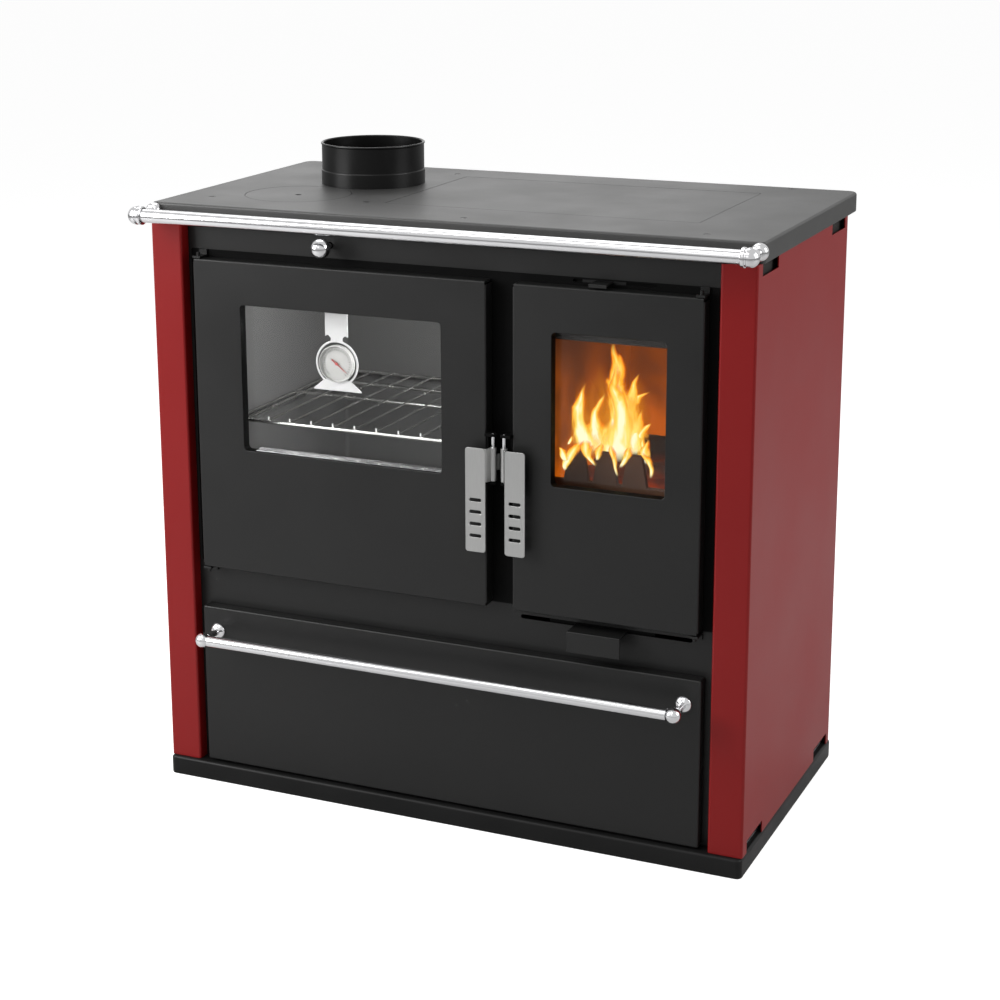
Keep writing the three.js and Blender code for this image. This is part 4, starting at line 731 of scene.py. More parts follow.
FINISHES = {
    "red": Finish(
        "ruby enamel", (0.185, 0.0030, 0.0032), (0.205, 0.0040, 0.0042), 0.40,
        specular=0.25, grain=650, blotch=5, bump=0.05, variation=0.03,
    ),
    "black": Finish(
        "satin black coating", (0.0042, 0.0042, 0.0041), (0.0072, 0.0072, 0.007), 0.44,
        specular=0.30, grain=1500, blotch=7, bump=0.10, variation=0.04,
    ),
    "hob": Finish(
        "anthracite hob", (0.024, 0.024, 0.0235), (0.032, 0.032, 0.031), 0.44,
        specular=0.42, grain=1300, blotch=9, bump=0.08, variation=0.04,
    ),
    "collar": Finish(
        "black stove pipe paint", (0.002, 0.002, 0.002), (0.004, 0.004, 0.004), 0.30,
        specular=0.20, grain=1500, blotch=12, bump=0.06, variation=0.03,
    ),
    # Painted shade: a near-black finish laid where shade falls, on the panel round the doors, the window
    # reveals, faces behind the panel, the handle brackets and the latch keeper.
    "shadow": Finish(
        "deep black coating", (0.0012, 0.0012, 0.0012), (0.002, 0.002, 0.002), 0.6,
        specular=0.06, grain=1500, blotch=12, bump=0.05, variation=0.03,
    ),
    "plinth": Finish(
        "plinth coating", (0.006, 0.006, 0.006), (0.012, 0.012, 0.012), 0.38,
        specular=0.12, grain=1200, blotch=8, bump=0.12, variation=0.05,
    ),
    "chrome": Finish(
        "polished chrome", (0.70, 0.70, 0.71), (0.60, 0.60, 0.61), 0.13, metallic=1.0,
        grain=400, blotch=14, bump=0.0, variation=0.03,
    ),
    "brushed": Finish(
        "brushed handle steel", (0.42, 0.42, 0.415), (0.34, 0.34, 0.335), 0.36, metallic=1.0,
        grain=2600, blotch=50, bump=0.10, variation=0.05, brushed=True,
    ),
    "bright": Finish(
        "bright thermometer steel", (0.47, 0.47, 0.47), (0.38, 0.38, 0.38), 0.42, metallic=0.35,
        grain=900, blotch=30, bump=0.04, variation=0.05,
    ),
    "iron": Finish(
        "dark cast iron", (0.010, 0.0095, 0.009), (0.022, 0.019, 0.017), 0.72,
        specular=0.3, grain=700, blotch=18, bump=0.45, variation=0.08,
    ),
    "zinc": Finish(
        "zinc sheet", (0.36, 0.37, 0.38), (0.27, 0.28, 0.29), 0.44, metallic=0.9,
        grain=500, blotch=40, bump=0.05, variation=0.10,
    ),
    "oven": Finish(
        "enamelled oven steel", (0.105, 0.105, 0.103), (0.085, 0.085, 0.083), 0.42,
        specular=0.4, grain=800, blotch=8, bump=0.0, variation=0.03,
    ),
    "guard": Finish(
        "scorched log guard", (0.040, 0.018, 0.010), (0.062, 0.030, 0.017), 0.8,
        specular=0.1, grain=700, blotch=25, bump=0.4, variation=0.05,
    ),
    "rope": Finish(
        "woven seal rope", (0.05, 0.047, 0.044), (0.10, 0.095, 0.088), 0.95,
        specular=0.1, grain=1800, blotch=300, bump=0.6, variation=0.03,
    ),
    "dial": Finish(
        "dial face", (0.31, 0.31, 0.30), (0.27, 0.27, 0.26), 0.55,
        grain=600, blotch=40, bump=0.02, variation=0.04,
    ),
    "mark": Finish(
        "dial marks", (0.035, 0.035, 0.035), (0.05, 0.05, 0.05), 0.5,
        grain=600, blotch=40, bump=0.02, variation=0.02,
    ),
    "needle": Finish(
        "red needle", (0.30, 0.035, 0.03), (0.26, 0.03, 0.028), 0.4,
        grain=600, blotch=40, bump=0.01, variation=0.02,
    ),
    "wire": Finish(
        "rack wire", (0.80, 0.80, 0.78), (0.66, 0.66, 0.64), 0.22, metallic=1.0,
        grain=700, blotch=60, bump=0.04, variation=0.06,
    ),
    "screw": Finish(
        "blackened screw", (0.022, 0.022, 0.022), (0.035, 0.034, 0.033), 0.30, metallic=0.4,
        grain=900, blotch=200, bump=0.05, variation=0.05,
    ),
}


def glass_material() -> Material:
    """Clear heat-proof glass with a faint smoke tint."""
    material = bpy.data.materials.new("window glass")
    material.use_nodes = True
    shader = material.node_tree.nodes["Principled BSDF"]
    shader.inputs["Base Color"].default_value = (0.95, 0.95, 0.95, 1)
    shader.inputs["Roughness"].default_value = 0.0
    shader.inputs["Transmission Weight"].default_value = 1.0
    shader.inputs["IOR"].default_value = 1.20
    shader.inputs["Specular IOR Level"].default_value = 0.2
    return material


def glow_material(
    name: str,
    base: tuple[float, float, float],
    dark: tuple[float, float, float],
    warm: tuple[float, float, float],
    heat: tuple[float, float],
    strength: float,
    scale: float,
) -> Material:
    """A rough material that glows between two heights, patchily; on the logs and embers it is their own glow,
    on the firebrick it is painted firelight.

    Args:
        name: Material name.
        base: Diffuse colour.
        dark: Glow colour where the glow is weakest.
        warm: Glow colour where the glow is strongest; on the firebrick it is the colour of the painted
            firelight.
        heat: Heights in metres where the glow is strongest and where it ends; on the firebrick this is how high
            the painted firelight reaches.
        strength: Emission strength.
        scale: Size of the patches.

    Returns:
        The material.
    """
    material = bpy.data.materials.new(name)
    material.use_nodes = True
    tree = material.node_tree
    shader = tree.nodes["Principled BSDF"]
    where = tree.nodes.new("ShaderNodeTexCoord")
    split = tree.nodes.new("ShaderNodeSeparateXYZ")
    tree.links.new(where.outputs["Object"], split.inputs[0])
    fade = tree.nodes.new("ShaderNodeMapRange")
    fade.interpolation_type = "SMOOTHSTEP"
    fade.inputs["From Min"].default_value = heat[0]
    fade.inputs["From Max"].default_value = heat[1]
    fade.inputs["To Min"].default_value = 1.0
    fade.inputs["To Max"].default_value = 0.0
    tree.links.new(split.outputs["Z"], fade.inputs["Value"])
    noise = tree.nodes.new("ShaderNodeTexNoise")
    noise.inputs["Scale"].default_value = scale
    noise.inputs["Detail"].default_value = 5.0
    tree.links.new(where.outputs["Object"], noise.inputs["Vector"])
    patch = tree.nodes.new("ShaderNodeMapRange")
    patch.inputs["From Min"].default_value = 0.38
    patch.inputs["From Max"].default_value = 0.66
    tree.links.new(noise.outputs["Fac"], patch.inputs["Value"])
    level = math_node(tree, "MULTIPLY", fade.outputs[0], math_node(tree, "ADD", patch.outputs[0], 0.35), True)
    ramp = tree.nodes.new("ShaderNodeValToRGB")
    ramp.color_ramp.elements[0].color = (*dark, 1)
    ramp.color_ramp.elements[1].color = (*warm, 1)
    tree.links.new(level, ramp.inputs[0])
    tree.links.new(ramp.outputs[0], shader.inputs["Emission Color"])
    shader.inputs["Emission Strength"].default_value = strength
    tint = tree.nodes.new("ShaderNodeMix")
    tint.data_type = "RGBA"
    tint.inputs[6].default_value = (*[c * 0.55 for c in base], 1)
    tint.inputs[7].default_value = (*base, 1)
    tree.links.new(noise.outputs["Fac"], tint.inputs[0])
    tree.links.new(tint.outputs[2], shader.inputs["Base Color"])
    shader.inputs["Roughness"].default_value = 0.95
    bump = tree.nodes.new("ShaderNodeBump")
    bump.inputs["Strength"].default_value = 0.5
    bump.inputs["Distance"].default_value = 0.002
    tree.links.new(noise.outputs["Fac"], bump.inputs["Height"])
    tree.links.new(bump.outputs[0], shader.inputs["Normal"])
    return material


def flame_material(name: str, seed: float, strength: float, haze: bool = False) -> Material:
    """Flame sheet: white-yellow core, orange rim, frayed see-through edge, from its own UV map.

    Args:
        name: Material name.
        seed: Offset of the fraying pattern.
        strength: Emission strength.
        haze: Whether it is only the dim glow behind the flames.

    Returns:
        The material.
    """
    material = bpy.data.materials.new(name)
    material.use_nodes = True
    tree = material.node_tree
    shader = tree.nodes["Principled BSDF"]
    where = tree.nodes.new("ShaderNodeUVMap")
    where.uv_map = "flame"
    split = tree.nodes.new("ShaderNodeSeparateXYZ")
    tree.links.new(where.outputs[0], split.inputs[0])
    across, up = split.outputs["X"], split.outputs["Y"]
    place_noise = tree.nodes.new("ShaderNodeTexCoord")
    stretch = tree.nodes.new("ShaderNodeMapping")
    stretch.inputs["Location"].default_value = (seed, seed * 0.7, seed * 1.3)
    stretch.inputs["Scale"].default_value = (1.0, 1.0, 0.34)
    tree.links.new(place_noise.outputs["Object"], stretch.inputs[0])
    noise = tree.nodes.new("ShaderNodeTexNoise")
    noise.inputs["Scale"].default_value = 62.0
    noise.inputs["Detail"].default_value = 3.0
    noise.inputs["Distortion"].default_value = 1.2
    tree.links.new(stretch.outputs[0], noise.inputs["Vector"])
    offset = math_node(tree, "SUBTRACT", across, 0.5)
    side = math_node(tree, "MULTIPLY", math_node(tree, "ABSOLUTE", offset, None), 2.0)
    ragged = math_node(tree, "MULTIPLY", math_node(tree, "SUBTRACT", noise.outputs["Fac"], 0.5), 1.3)
    edge = math_node(tree, "ADD", side, ragged)
    fade = tree.nodes.new("ShaderNodeMapRange")
    fade.interpolation_type = "SMOOTHSTEP"
    fade.inputs["From Min"].default_value = 1.0
    fade.inputs["From Max"].default_value = 0.0 if haze else 0.5
    tree.links.new(edge, fade.inputs["Value"])
    tip = tree.nodes.new("ShaderNodeMapRange")
    tip.interpolation_type = "SMOOTHSTEP"
    tip.inputs["From Min"].default_value = 1.0
    tip.inputs["From Max"].default_value = 0.4 if haze else 0.8
    tree.links.new(up, tip.inputs["Value"])
    root = tree.nodes.new("ShaderNodeMapRange")
    root.interpolation_type = "SMOOTHSTEP"
    root.inputs["From Min"].default_value = 0.0
    root.inputs["From Max"].default_value = 0.2
    tree.links.new(up, root.inputs["Value"])
    body = math_node(tree, "MULTIPLY", fade.outputs[0], tip.outputs[0])
    alpha = math_node(tree, "MULTIPLY", body, root.outputs[0], True)
    tree.links.new(alpha, shader.inputs["Alpha"])
    cooler = math_node(tree, "SUBTRACT", 1.10, math_node(tree, "MULTIPLY", up, 0.50))
    heat = math_node(tree, "SUBTRACT", cooler, math_node(tree, "MULTIPLY", edge, 0.66), True)
    ramp = tree.nodes.new("ShaderNodeValToRGB")
    ramp.color_ramp.elements[0].position = 0.05
    ramp.color_ramp.elements[0].color = (0.55, 0.07, 0.002, 1)
    ramp.color_ramp.elements[1].position = 0.85
    ramp.color_ramp.elements[1].color = (1.0, 0.93, 0.60, 1)
    steps = ((0.26, (0.90, 0.20, 0.004, 1)), (0.45, (1.0, 0.46, 0.03, 1)), (0.66, (1.0, 0.74, 0.16, 1)))
    if haze:
        ramp.color_ramp.elements[1].color = (0.75, 0.22, 0.004, 1)
        steps = ((0.5, (0.55, 0.12, 0.002, 1)),)
    for position, color in steps:
        ramp.color_ramp.elements.new(position).color = color
    tree.links.new(heat, ramp.inputs[0])
    tree.links.new(ramp.outputs[0], shader.inputs["Emission Color"])
    shader.inputs["Emission Strength"].default_value = strength
    shader.inputs["Base Color"].default_value = (0, 0, 0, 1)
    shader.inputs["Roughness"].default_value = 1.0
    shader.inputs["Specular IOR Level"].default_value = 0.0
    return material


class Palette:
    """All materials of the stove, built once."""

    def __init__(self) -> None:
        """Builds the shader groups and every finish."""
        groups = {"grain": build_grain_group(), "brush": build_brush_group()}
        self.finish = {key: value.build(groups) for key, value in FINISHES.items()}
        self.finish["glass"] = glass_material()
        # The firebrick's glow is painted firelight: emission standing in for the flames' light on the lining,
        # strongest low down and fading upward.
        self.finish["brick"] = glow_material(
            "hot refractory lining", (0.13, 0.045, 0.012), (0.050, 0.012, 0.003), (0.46, 0.090, 0.001),
            (0.50, 0.70), 1.0, 13.0,
        )
        self.finish["log"] = glow_material(
            "charred log", (0.035, 0.02, 0.014), (0.003, 0.001, 0.001), (0.60, 0.06, 0.003),
            (0.46, 0.53), 0.45, 60.0,
        )
        self.finish["ember"] = glow_material(
            "embers", (0.03, 0.02, 0.016), (0.08, 0.008, 0.001), (0.9, 0.16, 0.01),
            (0.465, 0.50), 0.7, 70.0,
        )
        self.flames = [flame_material(f"flame {i}", 0.37 * i, 1.15) for i in range(3)]
        self.flames.append(flame_material("flame haze", 2.1, 0.8, True))


PALETTE = Palette()


def dress(piece: Object, finish: str, slot: Slot, body: str, *nodes: str) -> Object:
    """Gives a piece its finish and its body, and hides the CAD nodes that it stands for.

    Args:
        piece: The finished piece.
        finish: Name in the palette.
        slot: Material slot of the record; not used.
        body: CAD body it moves with.
        nodes: CAD nodes that it replaces.

    Returns:
        The piece.
    """
    piece.data.materials.clear()
    piece.data.materials.append(PALETTE.finish[finish])
    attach(piece, body)
    if nodes:
        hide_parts(*nodes)
    LOG.info("%s: %d faces on %s", piece.name, len(piece.data.polygons), body)
    return piece


def shade_part(piece: Object, finish: str, inside: Callable[[Vector], bool]) -> None:
    """Gives part of a dressed piece a second finish; here it lays painted shade on faces that stand in shadow.

    Args:
        piece: The dressed piece.
        finish: Name in the palette.
        inside: Test of a face's centre in millimetres.
    """
    piece.data.materials.append(PALETTE.finish[finish])
    for polygon in piece.data.polygons:
        if inside(polygon.center / MM):
            polygon.material_index = 1


def paint(node: str, finish: str) -> None:
    """Gives a CAD node that stays in view its finish."""
    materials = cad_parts[node].data.materials
    materials.clear()
    materials.append(PALETTE.finish[finish])


# ------------------------------------------------------------------ geometry nodes


def geometry_tree(
    name: str, inputs: dict[str, tuple[str, float]]
) -> tuple[NodeTree, Node, Node, dict[str, str]]:
    """Starts a geometry node tree with a geometry input, named inputs and an output.

    Args:
        name: Tree name.
        inputs: Socket name to (socket type, default value).

    Returns:
        The tree, its input node, its output node and the identifiers by socket name.
    """
    tree = bpy.data.node_groups.new(name, "GeometryNodeTree")
    tree.interface.new_socket("Geometry", in_out="INPUT", socket_type="NodeSocketGeometry")
    names = {}
    for label, (kind, value) in inputs.items():
        socket = tree.interface.new_socket(label, in_out="INPUT", socket_type=kind)
        socket.default_value = value
        names[label] = socket.identifier
    tree.interface.new_socket("Geometry", in_out="OUTPUT", socket_type="NodeSocketGeometry")
    return tree, tree.nodes.new("NodeGroupInput"), tree.nodes.new("NodeGroupOutput"), names


def run_tree(
    piece: Object, tree: NodeTree, values: dict[str, float], names: dict[str, str]
) -> Object:
    """Runs a geometry node tree on a piece and keeps its result as a plain mesh.

    Args:
        piece: The piece that carries the tree.
        tree: Geometry node tree.
        values: Values by socket name.
        names: Socket identifiers by socket name.

    Returns:
        The same piece with its final mesh.
    """
    step = piece.modifiers.new("nodes", "NODES")
    step.node_group = tree
    for label, value in values.items():
        step[names[label]] = value
    return settle(piece)


def scatter_tree(name: str, tool: Object, finish: str) -> tuple[NodeTree, dict[str, str]]:
    """Tree that sets a copy of a tool mesh on each vertex, scaled by a named input.

    Args:
        name: Tree name.
        tool: Mesh to repeat.
        finish: Name in the palette.

    Returns:
        The tree and its socket identifiers by name.
    """
    tree, entry, leave, names = geometry_tree(name, {"Scale": ("NodeSocketFloat", 1.0)})
    source = tree.nodes.new("GeometryNodeObjectInfo")
    source.inputs["Object"].default_value = tool
    source.transform_space = "ORIGINAL"
    spread = tree.nodes.new("GeometryNodeInstanceOnPoints")
    realize = tree.nodes.new("GeometryNodeRealizeInstances")
    material = tree.nodes.new("GeometryNodeSetMaterial")
    material.inputs["Material"].default_value = PALETTE.finish[finish]
    tree.links.new(entry.outputs["Geometry"], spread.inputs["Points"])
    tree.links.new(source.outputs["Geometry"], spread.inputs["Instance"])
    tree.links.new(entry.outputs["Scale"], spread.inputs["Scale"])
    tree.links.new(spread.outputs[0], realize.inputs[0])
    tree.links.new(realize.outputs[0], material.inputs[0])
    tree.links.new(material.outputs[0], leave.inputs[0])
    return tree, names


def repeat_on_points(name: str, tool: Object, points: Sequence[Point], finish: str) -> Object:
    """Sets copies of a tool on points, as one mesh, and deletes the tool.

    Args:
        name: Name of the piece.
        tool: Mesh to repeat.
        points: Where the copies go.
        finish: Name in the palette.

    Returns:
        The piece with all copies.
    """
    carrier = new_points(name, points)
    tree, names = scatter_tree(name + "_tree", tool, finish)
    piece = run_tree(carrier, tree, {"Scale": 1.0}, names)
    bpy.data.objects.remove(tool)
    piece.data.shade_smooth()
    piece.data.set_sharp_from_angle(angle=math.radians(32))
    return piece


def new_points(name: str, points: Sequence[Point]) -> Object:
    """An object that holds loose points only."""
    mesh = bpy.data.meshes.new(name)
    mesh.from_pydata([tuple(c * MM for c in p) for p in points], [], [])
    piece = bpy.data.objects.new(name, mesh)
    bpy.context.scene.collection.objects.link(piece)
    return piece


# ------------------------------------------------------------------ body


@dataclass
class Cabinet:
    """Red side panels, front panel, plinth and the plain inner sheets."""

    side_x: float = 437.75
    front_y: float = -220.0
    back_y: float = 215.6
    bottom: float = 28.3
    top: float = 822.7
    strip: float = 48.5
    sheet: float = 2.0
    bend: float = 2.6
    notch: tuple[float, float, float] = (130.0, 200.0, 17.5)
    panel_y: float = -201.0

    def side_panel(self, side: int) -> Object:
        """Folded side panel with its edge cut-outs.

        Args:
            side: -1 for left, 1 for right.

        Returns:
            The panel.
        """
        half = self.sheet / 2
        x = side * (self.side_x - half)
        inner = side * (self.side_x - self.strip + half)
        path = [
            (inner, self.panel_y - 0.3),
            (inner, self.front_y + half),
            (x, self.front_y + half),
            (x, self.back_y - half),
            (side * (self.side_x - 22), self.back_y - half),
        ]
        outline = sheet_outline(path, self.sheet, self.bend)
        name = "side_sheet_right" if side > 0 else "side_sheet_left"
        panel = plate(name, outline, [], self.bottom, self.top, Plane.XY)
        near, far, height = self.notch
        tools = []
        low_x, high_x = sorted((side * (self.side_x - 4.5), side * (self.side_x + 2)))
        for sign in (-1, 1):
            low_y, high_y = sorted((sign * near, sign * far))
            for low_z, high_z in (
                (self.bottom - 5, self.bottom + height),
                (self.top - height, self.top + 5),
            ):
                tools.append(block("notch", (low_x, low_y, low_z), (high_x, high_y, high_z)))
        panel = carve(panel, tools)
        return soften(panel, 0.35, 2)

    def plinth(self) -> Object:
        """Base pan with rounded outer edges."""
        outer = Bounds(-438, 438, -226, 226)
        sections = [section(outer.shrink(2.2), 6, 0.0), section(outer.shrink(0.5), 7.5, 0.9)]
        sections += [section(outer, 8, 2.6), section(outer, 8, 23.5)]
        for i in range(1, 6):
            angle = math.radians(90 * i / 5)
            inset = 4.5 * (1 - math.cos(angle))
            sections.append(section(outer.shrink(inset), 8 - inset, 23.5 + 4.5 * math.sin(angle)))
        sections += [section(outer.shrink(32), 1, 28.0), section(outer.shrink(32), 1, 3.0)]
        return even(loft("plinth_pan", sections, Plane.XY))

    def front(self) -> Object:
        """Front panel with door openings, lever slots and damper hole."""
        outline = [
            (-435.4, 28.3), (-350, 28.3), (-350, 252), (350, 252), (350, 28.3),
            (435.4, 28.3), (435.4, 822.7), (-435.4, 822.7),
        ]
        holes = [
            Bounds(-343.5, 45.5, 357, 750).loop((4,) * 4),
            Bounds(137, 344, 357, 750).loop((4,) * 4),
            Bounds(113.5, 357, 312.4, 318.4).loop((2.9,) * 4),
            Bounds(186, 300, 781, 785.5).loop((2.2,) * 4),
            round_outline(-167, 805, 5, 24),
        ]
        return even(plate("front_sheet", outline, holes, self.panel_y, -198.5, Plane.XZ))

    def surround(self) -> Object:
        """Painted shadow: a thin near-black sheet on the front panel round the two doors, open at the openings
        and the slot.
        """
        holes = [
            Bounds(-342.5, 44.5, 358, 749).loop((4,) * 4),
            Bounds(138, 343, 358, 749).loop((4,) * 4),
            Bounds(186, 300, 781, 785.5).loop((2.2,) * 4),
        ]
        outline = Bounds(-385, 385, 331, 787.5).loop((3,) * 4)
        return plate("door_surround", outline, holes, self.panel_y - 0.4, self.panel_y + 0.2, Plane.XZ)

    def build(self) -> None:
        """Builds and dresses the body."""
        for side, node in ((-1, "side_panel_left"), (1, "side_panel_right")):
            dress(self.side_panel(side), "red", Slot.RED, "stove", node)
        dress(self.plinth(), "plinth", Slot.BLACK, "stove", "base_plinth")
        dress(self.front(), "black", Slot.BLACK, "stove", "front_panel")
        # A near-black sheet over the panel round the doors, as painted shadow.
        dress(self.surround(), "shadow", Slot.BLACK, "stove")
        dress(refine("back_panel", 0.5), "black", Slot.BLACK, "stove", "back_panel")
        for node in ("inner_wall_left", "inner_wall_right"):
            paint(node, "iron")
        paint("base_deck", "zinc")


@dataclass
class Hob:
    """Hob plate, its lids, screws and the flue collar."""

    top: float = 850.0
    height: float = 27.0
    outer: Bounds = field(default_factory=lambda: Bounds(-442.5, 442.5, -209, 253))
    lid: tuple[float, float, float] = (-286.0, -68.0, 75.5)
    cook: Bounds = field(default_factory=lambda: Bounds(-134, 320.5, -97, 178))
    flue: tuple[float, float] = (-239.0, 77.0)
    screws: tuple[Flat, ...] = (
        (-387, -136), (-162, -99), (-158, 198), (21, -177), (349, 236), (357, -178),
    )

    def slab(self) -> Object:
        """Hob plate with a rolled edge, lid rebates and openings."""
        radii = (5.0, 5.0, 16.0, 16.0)

        def cut(inset: float, depth: float) -> Section:
            """Outline of the plate, drawn in by an inset, at a height."""
            return Section(self.outer.shrink(inset), tuple(r - inset for r in radii), depth)

        bottom = self.top - self.height
        sections = [cut(0.8, bottom), cut(0.0, bottom + 0.8), cut(0.0, self.top - 3.5)]
        for i in range(1, 6):
            angle = math.radians(90 * i / 5)
            sections.append(cut(3.5 * (1 - math.cos(angle)), self.top - 3.5 + 3.5 * math.sin(angle)))
        hob = loft("hob_slab", sections, Plane.XY)
        x, y, radius = self.lid
        over, rebate = self.top + 5, self.top - 6.3
        tools = [
            block("under", (-437.5, -204, bottom - 5), (437.5, 248, self.top - 12)),
            plate("t1", self.cook.shrink(-0.8).loop((3,) * 4), [], rebate, over, Plane.XY),
            plate("t2", self.cook.shrink(8).loop((3,) * 4), [], bottom - 6, over, Plane.XY),
            plate("t3", round_outline(x, y, radius + 0.8, 96), [], rebate, over, Plane.XY),
            plate("t4", round_outline(x, y, radius - 8, 96), [], bottom - 6, over, Plane.XY),
            plate("t5", round_outline(*self.flue, 72.5, 96), [], bottom - 6, over, Plane.XY),
        ]
        for sx, sy in self.screws:
            tools.append(plate("t6", round_outline(sx, sy, 4.6, 24), [], self.top - 1.6, over, Plane.XY))
        return even(carve(hob, tools))

    def collar(self) -> Object:
        """Flue collar with a stepped foot and a rolled rim."""
        base = self.top + 0.3
        profile = [
            (72.5, 0), (76, 0), (76, 19.2), (75.6, 20.2), (75, 21.0), (75, 56.2),
            (75.5, 57.0), (76.1, 57.8), (76.2, 58.6), (75.9, 59.5), (75.2, 60.0),
            (74.2, 60.0), (73.2, 59.6), (72.5, 58.6), (72.5, 0),
        ]
        return turned("collar_ring", profile, (*self.flue, base), Vector((0, 0, 1)), 128)

    def build(self) -> None:
        """Builds and dresses the hob."""
        dress(self.slab(), "hob", Slot.HOB, "stove", "hob_plate")
        x, y, radius = self.lid
        low, high = self.top - 6, self.top
        lid = plate("round_lid_disc", round_outline(x, y, radius, 128), [], low, high, Plane.XY)
        dimple = plate("d", round_outline(x + 4, y - 7, 4.5, 32), [], high - 3.5, high + 3, Plane.XY)
        lid = soften(carve(lid, [dimple]), 0.45)
        dress(lid, "hob", Slot.HOB, "round_lid", "hob_round_lid")
        cook = plate("cook_plate_slab", self.cook.loop((3,) * 4), [], low, high, Plane.XY)
        dress(soften(cook, 0.45), "hob", Slot.HOB, "cook_plate", "hob_cook_plate")
        dress(even(self.collar()), "collar", Slot.BLACK, "stove", "flue_collar")
        head = [(4.2, 0.0), (4.2, -1.2), (2.4, -2.6), (2.4, -9.0)]
        profile = [(0.0, 0.0), *head, (0.0, -9.0)]
        screw = turned("screw", profile[::-1], (0, 0, 0), Vector((0, 0, 1)), 20)
        slot = block("s", (-3.2, -0.45, -0.9), (3.2, 0.45, 1))
        screw = carve(screw, [slot])
        spots = [(sx, sy, self.top - 0.35) for sx, sy in self.screws]
        screws = repeat_on_points("hob_screws", screw, spots, "screw")
        dress(screws, "screw", Slot.HOB, "stove")


# ------------------------------------------------------------------ rails and knob


@dataclass
class TowelRail:
    """Rail along the hob's front edge with a capped fitting at each end."""

    axis_y: float = -255.0
    axis_z: float = 838.0
    radius: float = 9.5
    end_x: float = 436.4
    fitting: float = 13.0

    def end(self, side: int) -> Object:
        """Fitting with its groove and dome, and the post back to the hob.

        Args:
            side: -1 for left, 1 for right.

        Returns:
            The fitting.
        """
        r = self.fitting
        profile = [(0, -10), (r - 2.4, -10), (r - 1.0, -9.6), (r - 0.2, -8.8), (r, -7.8), (r, -5.0)]
        profile += [(r - 0.5, -4.4), (r - 1.5, -4.1), (r - 1.5, -2.2), (r - 0.6, -1.9), (r, -1.2)]
        profile += arc(0, 0, r, 0, 90, 14)
        name = "rail_fitting_right" if side > 0 else "rail_fitting_left"
        centre = (side * self.end_x, self.axis_y, self.axis_z)
        cap = turned(name, profile, centre, Vector((side, 0, 0)), 64)
        post = [(0, 0), (6.5, 0), (6.5, 34.6), (8.2, 35.2), (9.9, 36.6), (11.0, 38.6), (11.5, 41.0)]
        post += [(11.5, 44.8), (10.9, 45.7), (0, 45.7)]
        stem = turned("post", post, centre, Vector((0, 1, 0)), 48)
        return carve(cap, [stem], "UNION")

    def build(self) -> None:
        """Builds and dresses the rail."""
        half = self.end_x - 10.3
        wall = self.radius - 1.5
        profile = [(wall, -half), (self.radius, -half), (self.radius, half), (wall, half), (wall, -half)]
        centre = (0, self.axis_y, self.axis_z)
        tube = turned("towel_tube", profile, centre, Vector((1, 0, 0)), 64)
        dress(even(tube), "chrome", Slot.CHROME, "stove", "top_rail_tube")
        dress(self.end(-1), "chrome", Slot.CHROME, "stove", "top_rail_end_left")
        dress(self.end(1), "chrome", Slot.CHROME, "stove", "top_rail_end_right")


@dataclass
class Knobs:
    """Damper knob and rod, and the two air levers."""

    damper: Point = (-167.0, -228.0, 805.0)

    def build(self) -> None:
        """Builds and dresses the controls."""
        ball = arc(0, 0, 13.5, -90, 90, 32)
        knob = turned("damper_ball", ball, self.damper, Vector((0, 1, 0)), 64)
        dress(knob, "chrome", Slot.CHROME, "damper", "damper_knob")
        x, _, z = self.damper
        rod = turned(
            "damper_stem",
            [(0, 0), (4, 0), (4, 258.6), (3.6, 259.2), (0, 259.2)],
            (x, -214.2, z),
            Vector((0, 1, 0)),
            32,
        )
        dress(even(rod), "chrome", Slot.CHROME, "damper", "damper_rod")
        flap = refine("damper_flap", 0.4)
        dress(flap, "iron", Slot.IRON, "damper", "damper_flap")
        lever = dress(refine("air_lever", 0.7), "black", Slot.BLACK, "lower_air", "air_lever")
        # The lever's faces behind the panel take the near-black finish as painted shade.
        shade_part(lever, "shadow", lambda spot: spot.y > -200.0)
        dress(refine("upper_air_lever", 0.5), "black", Slot.BLACK, "upper_air", "upper_air_lever")
        # The shutter behind the upper slot is near black, painted shade that keeps the slot dark.
        shutter = plate(
            "upper_air_shutter", Bounds(160, 318, 775, 793).loop((3,) * 4), [], -197.5, -196.3, Plane.XZ
        )
        dress(soften(shutter, 0.3), "shadow", Slot.BLACK, "upper_air")


# ------------------------------------------------------------------ doors


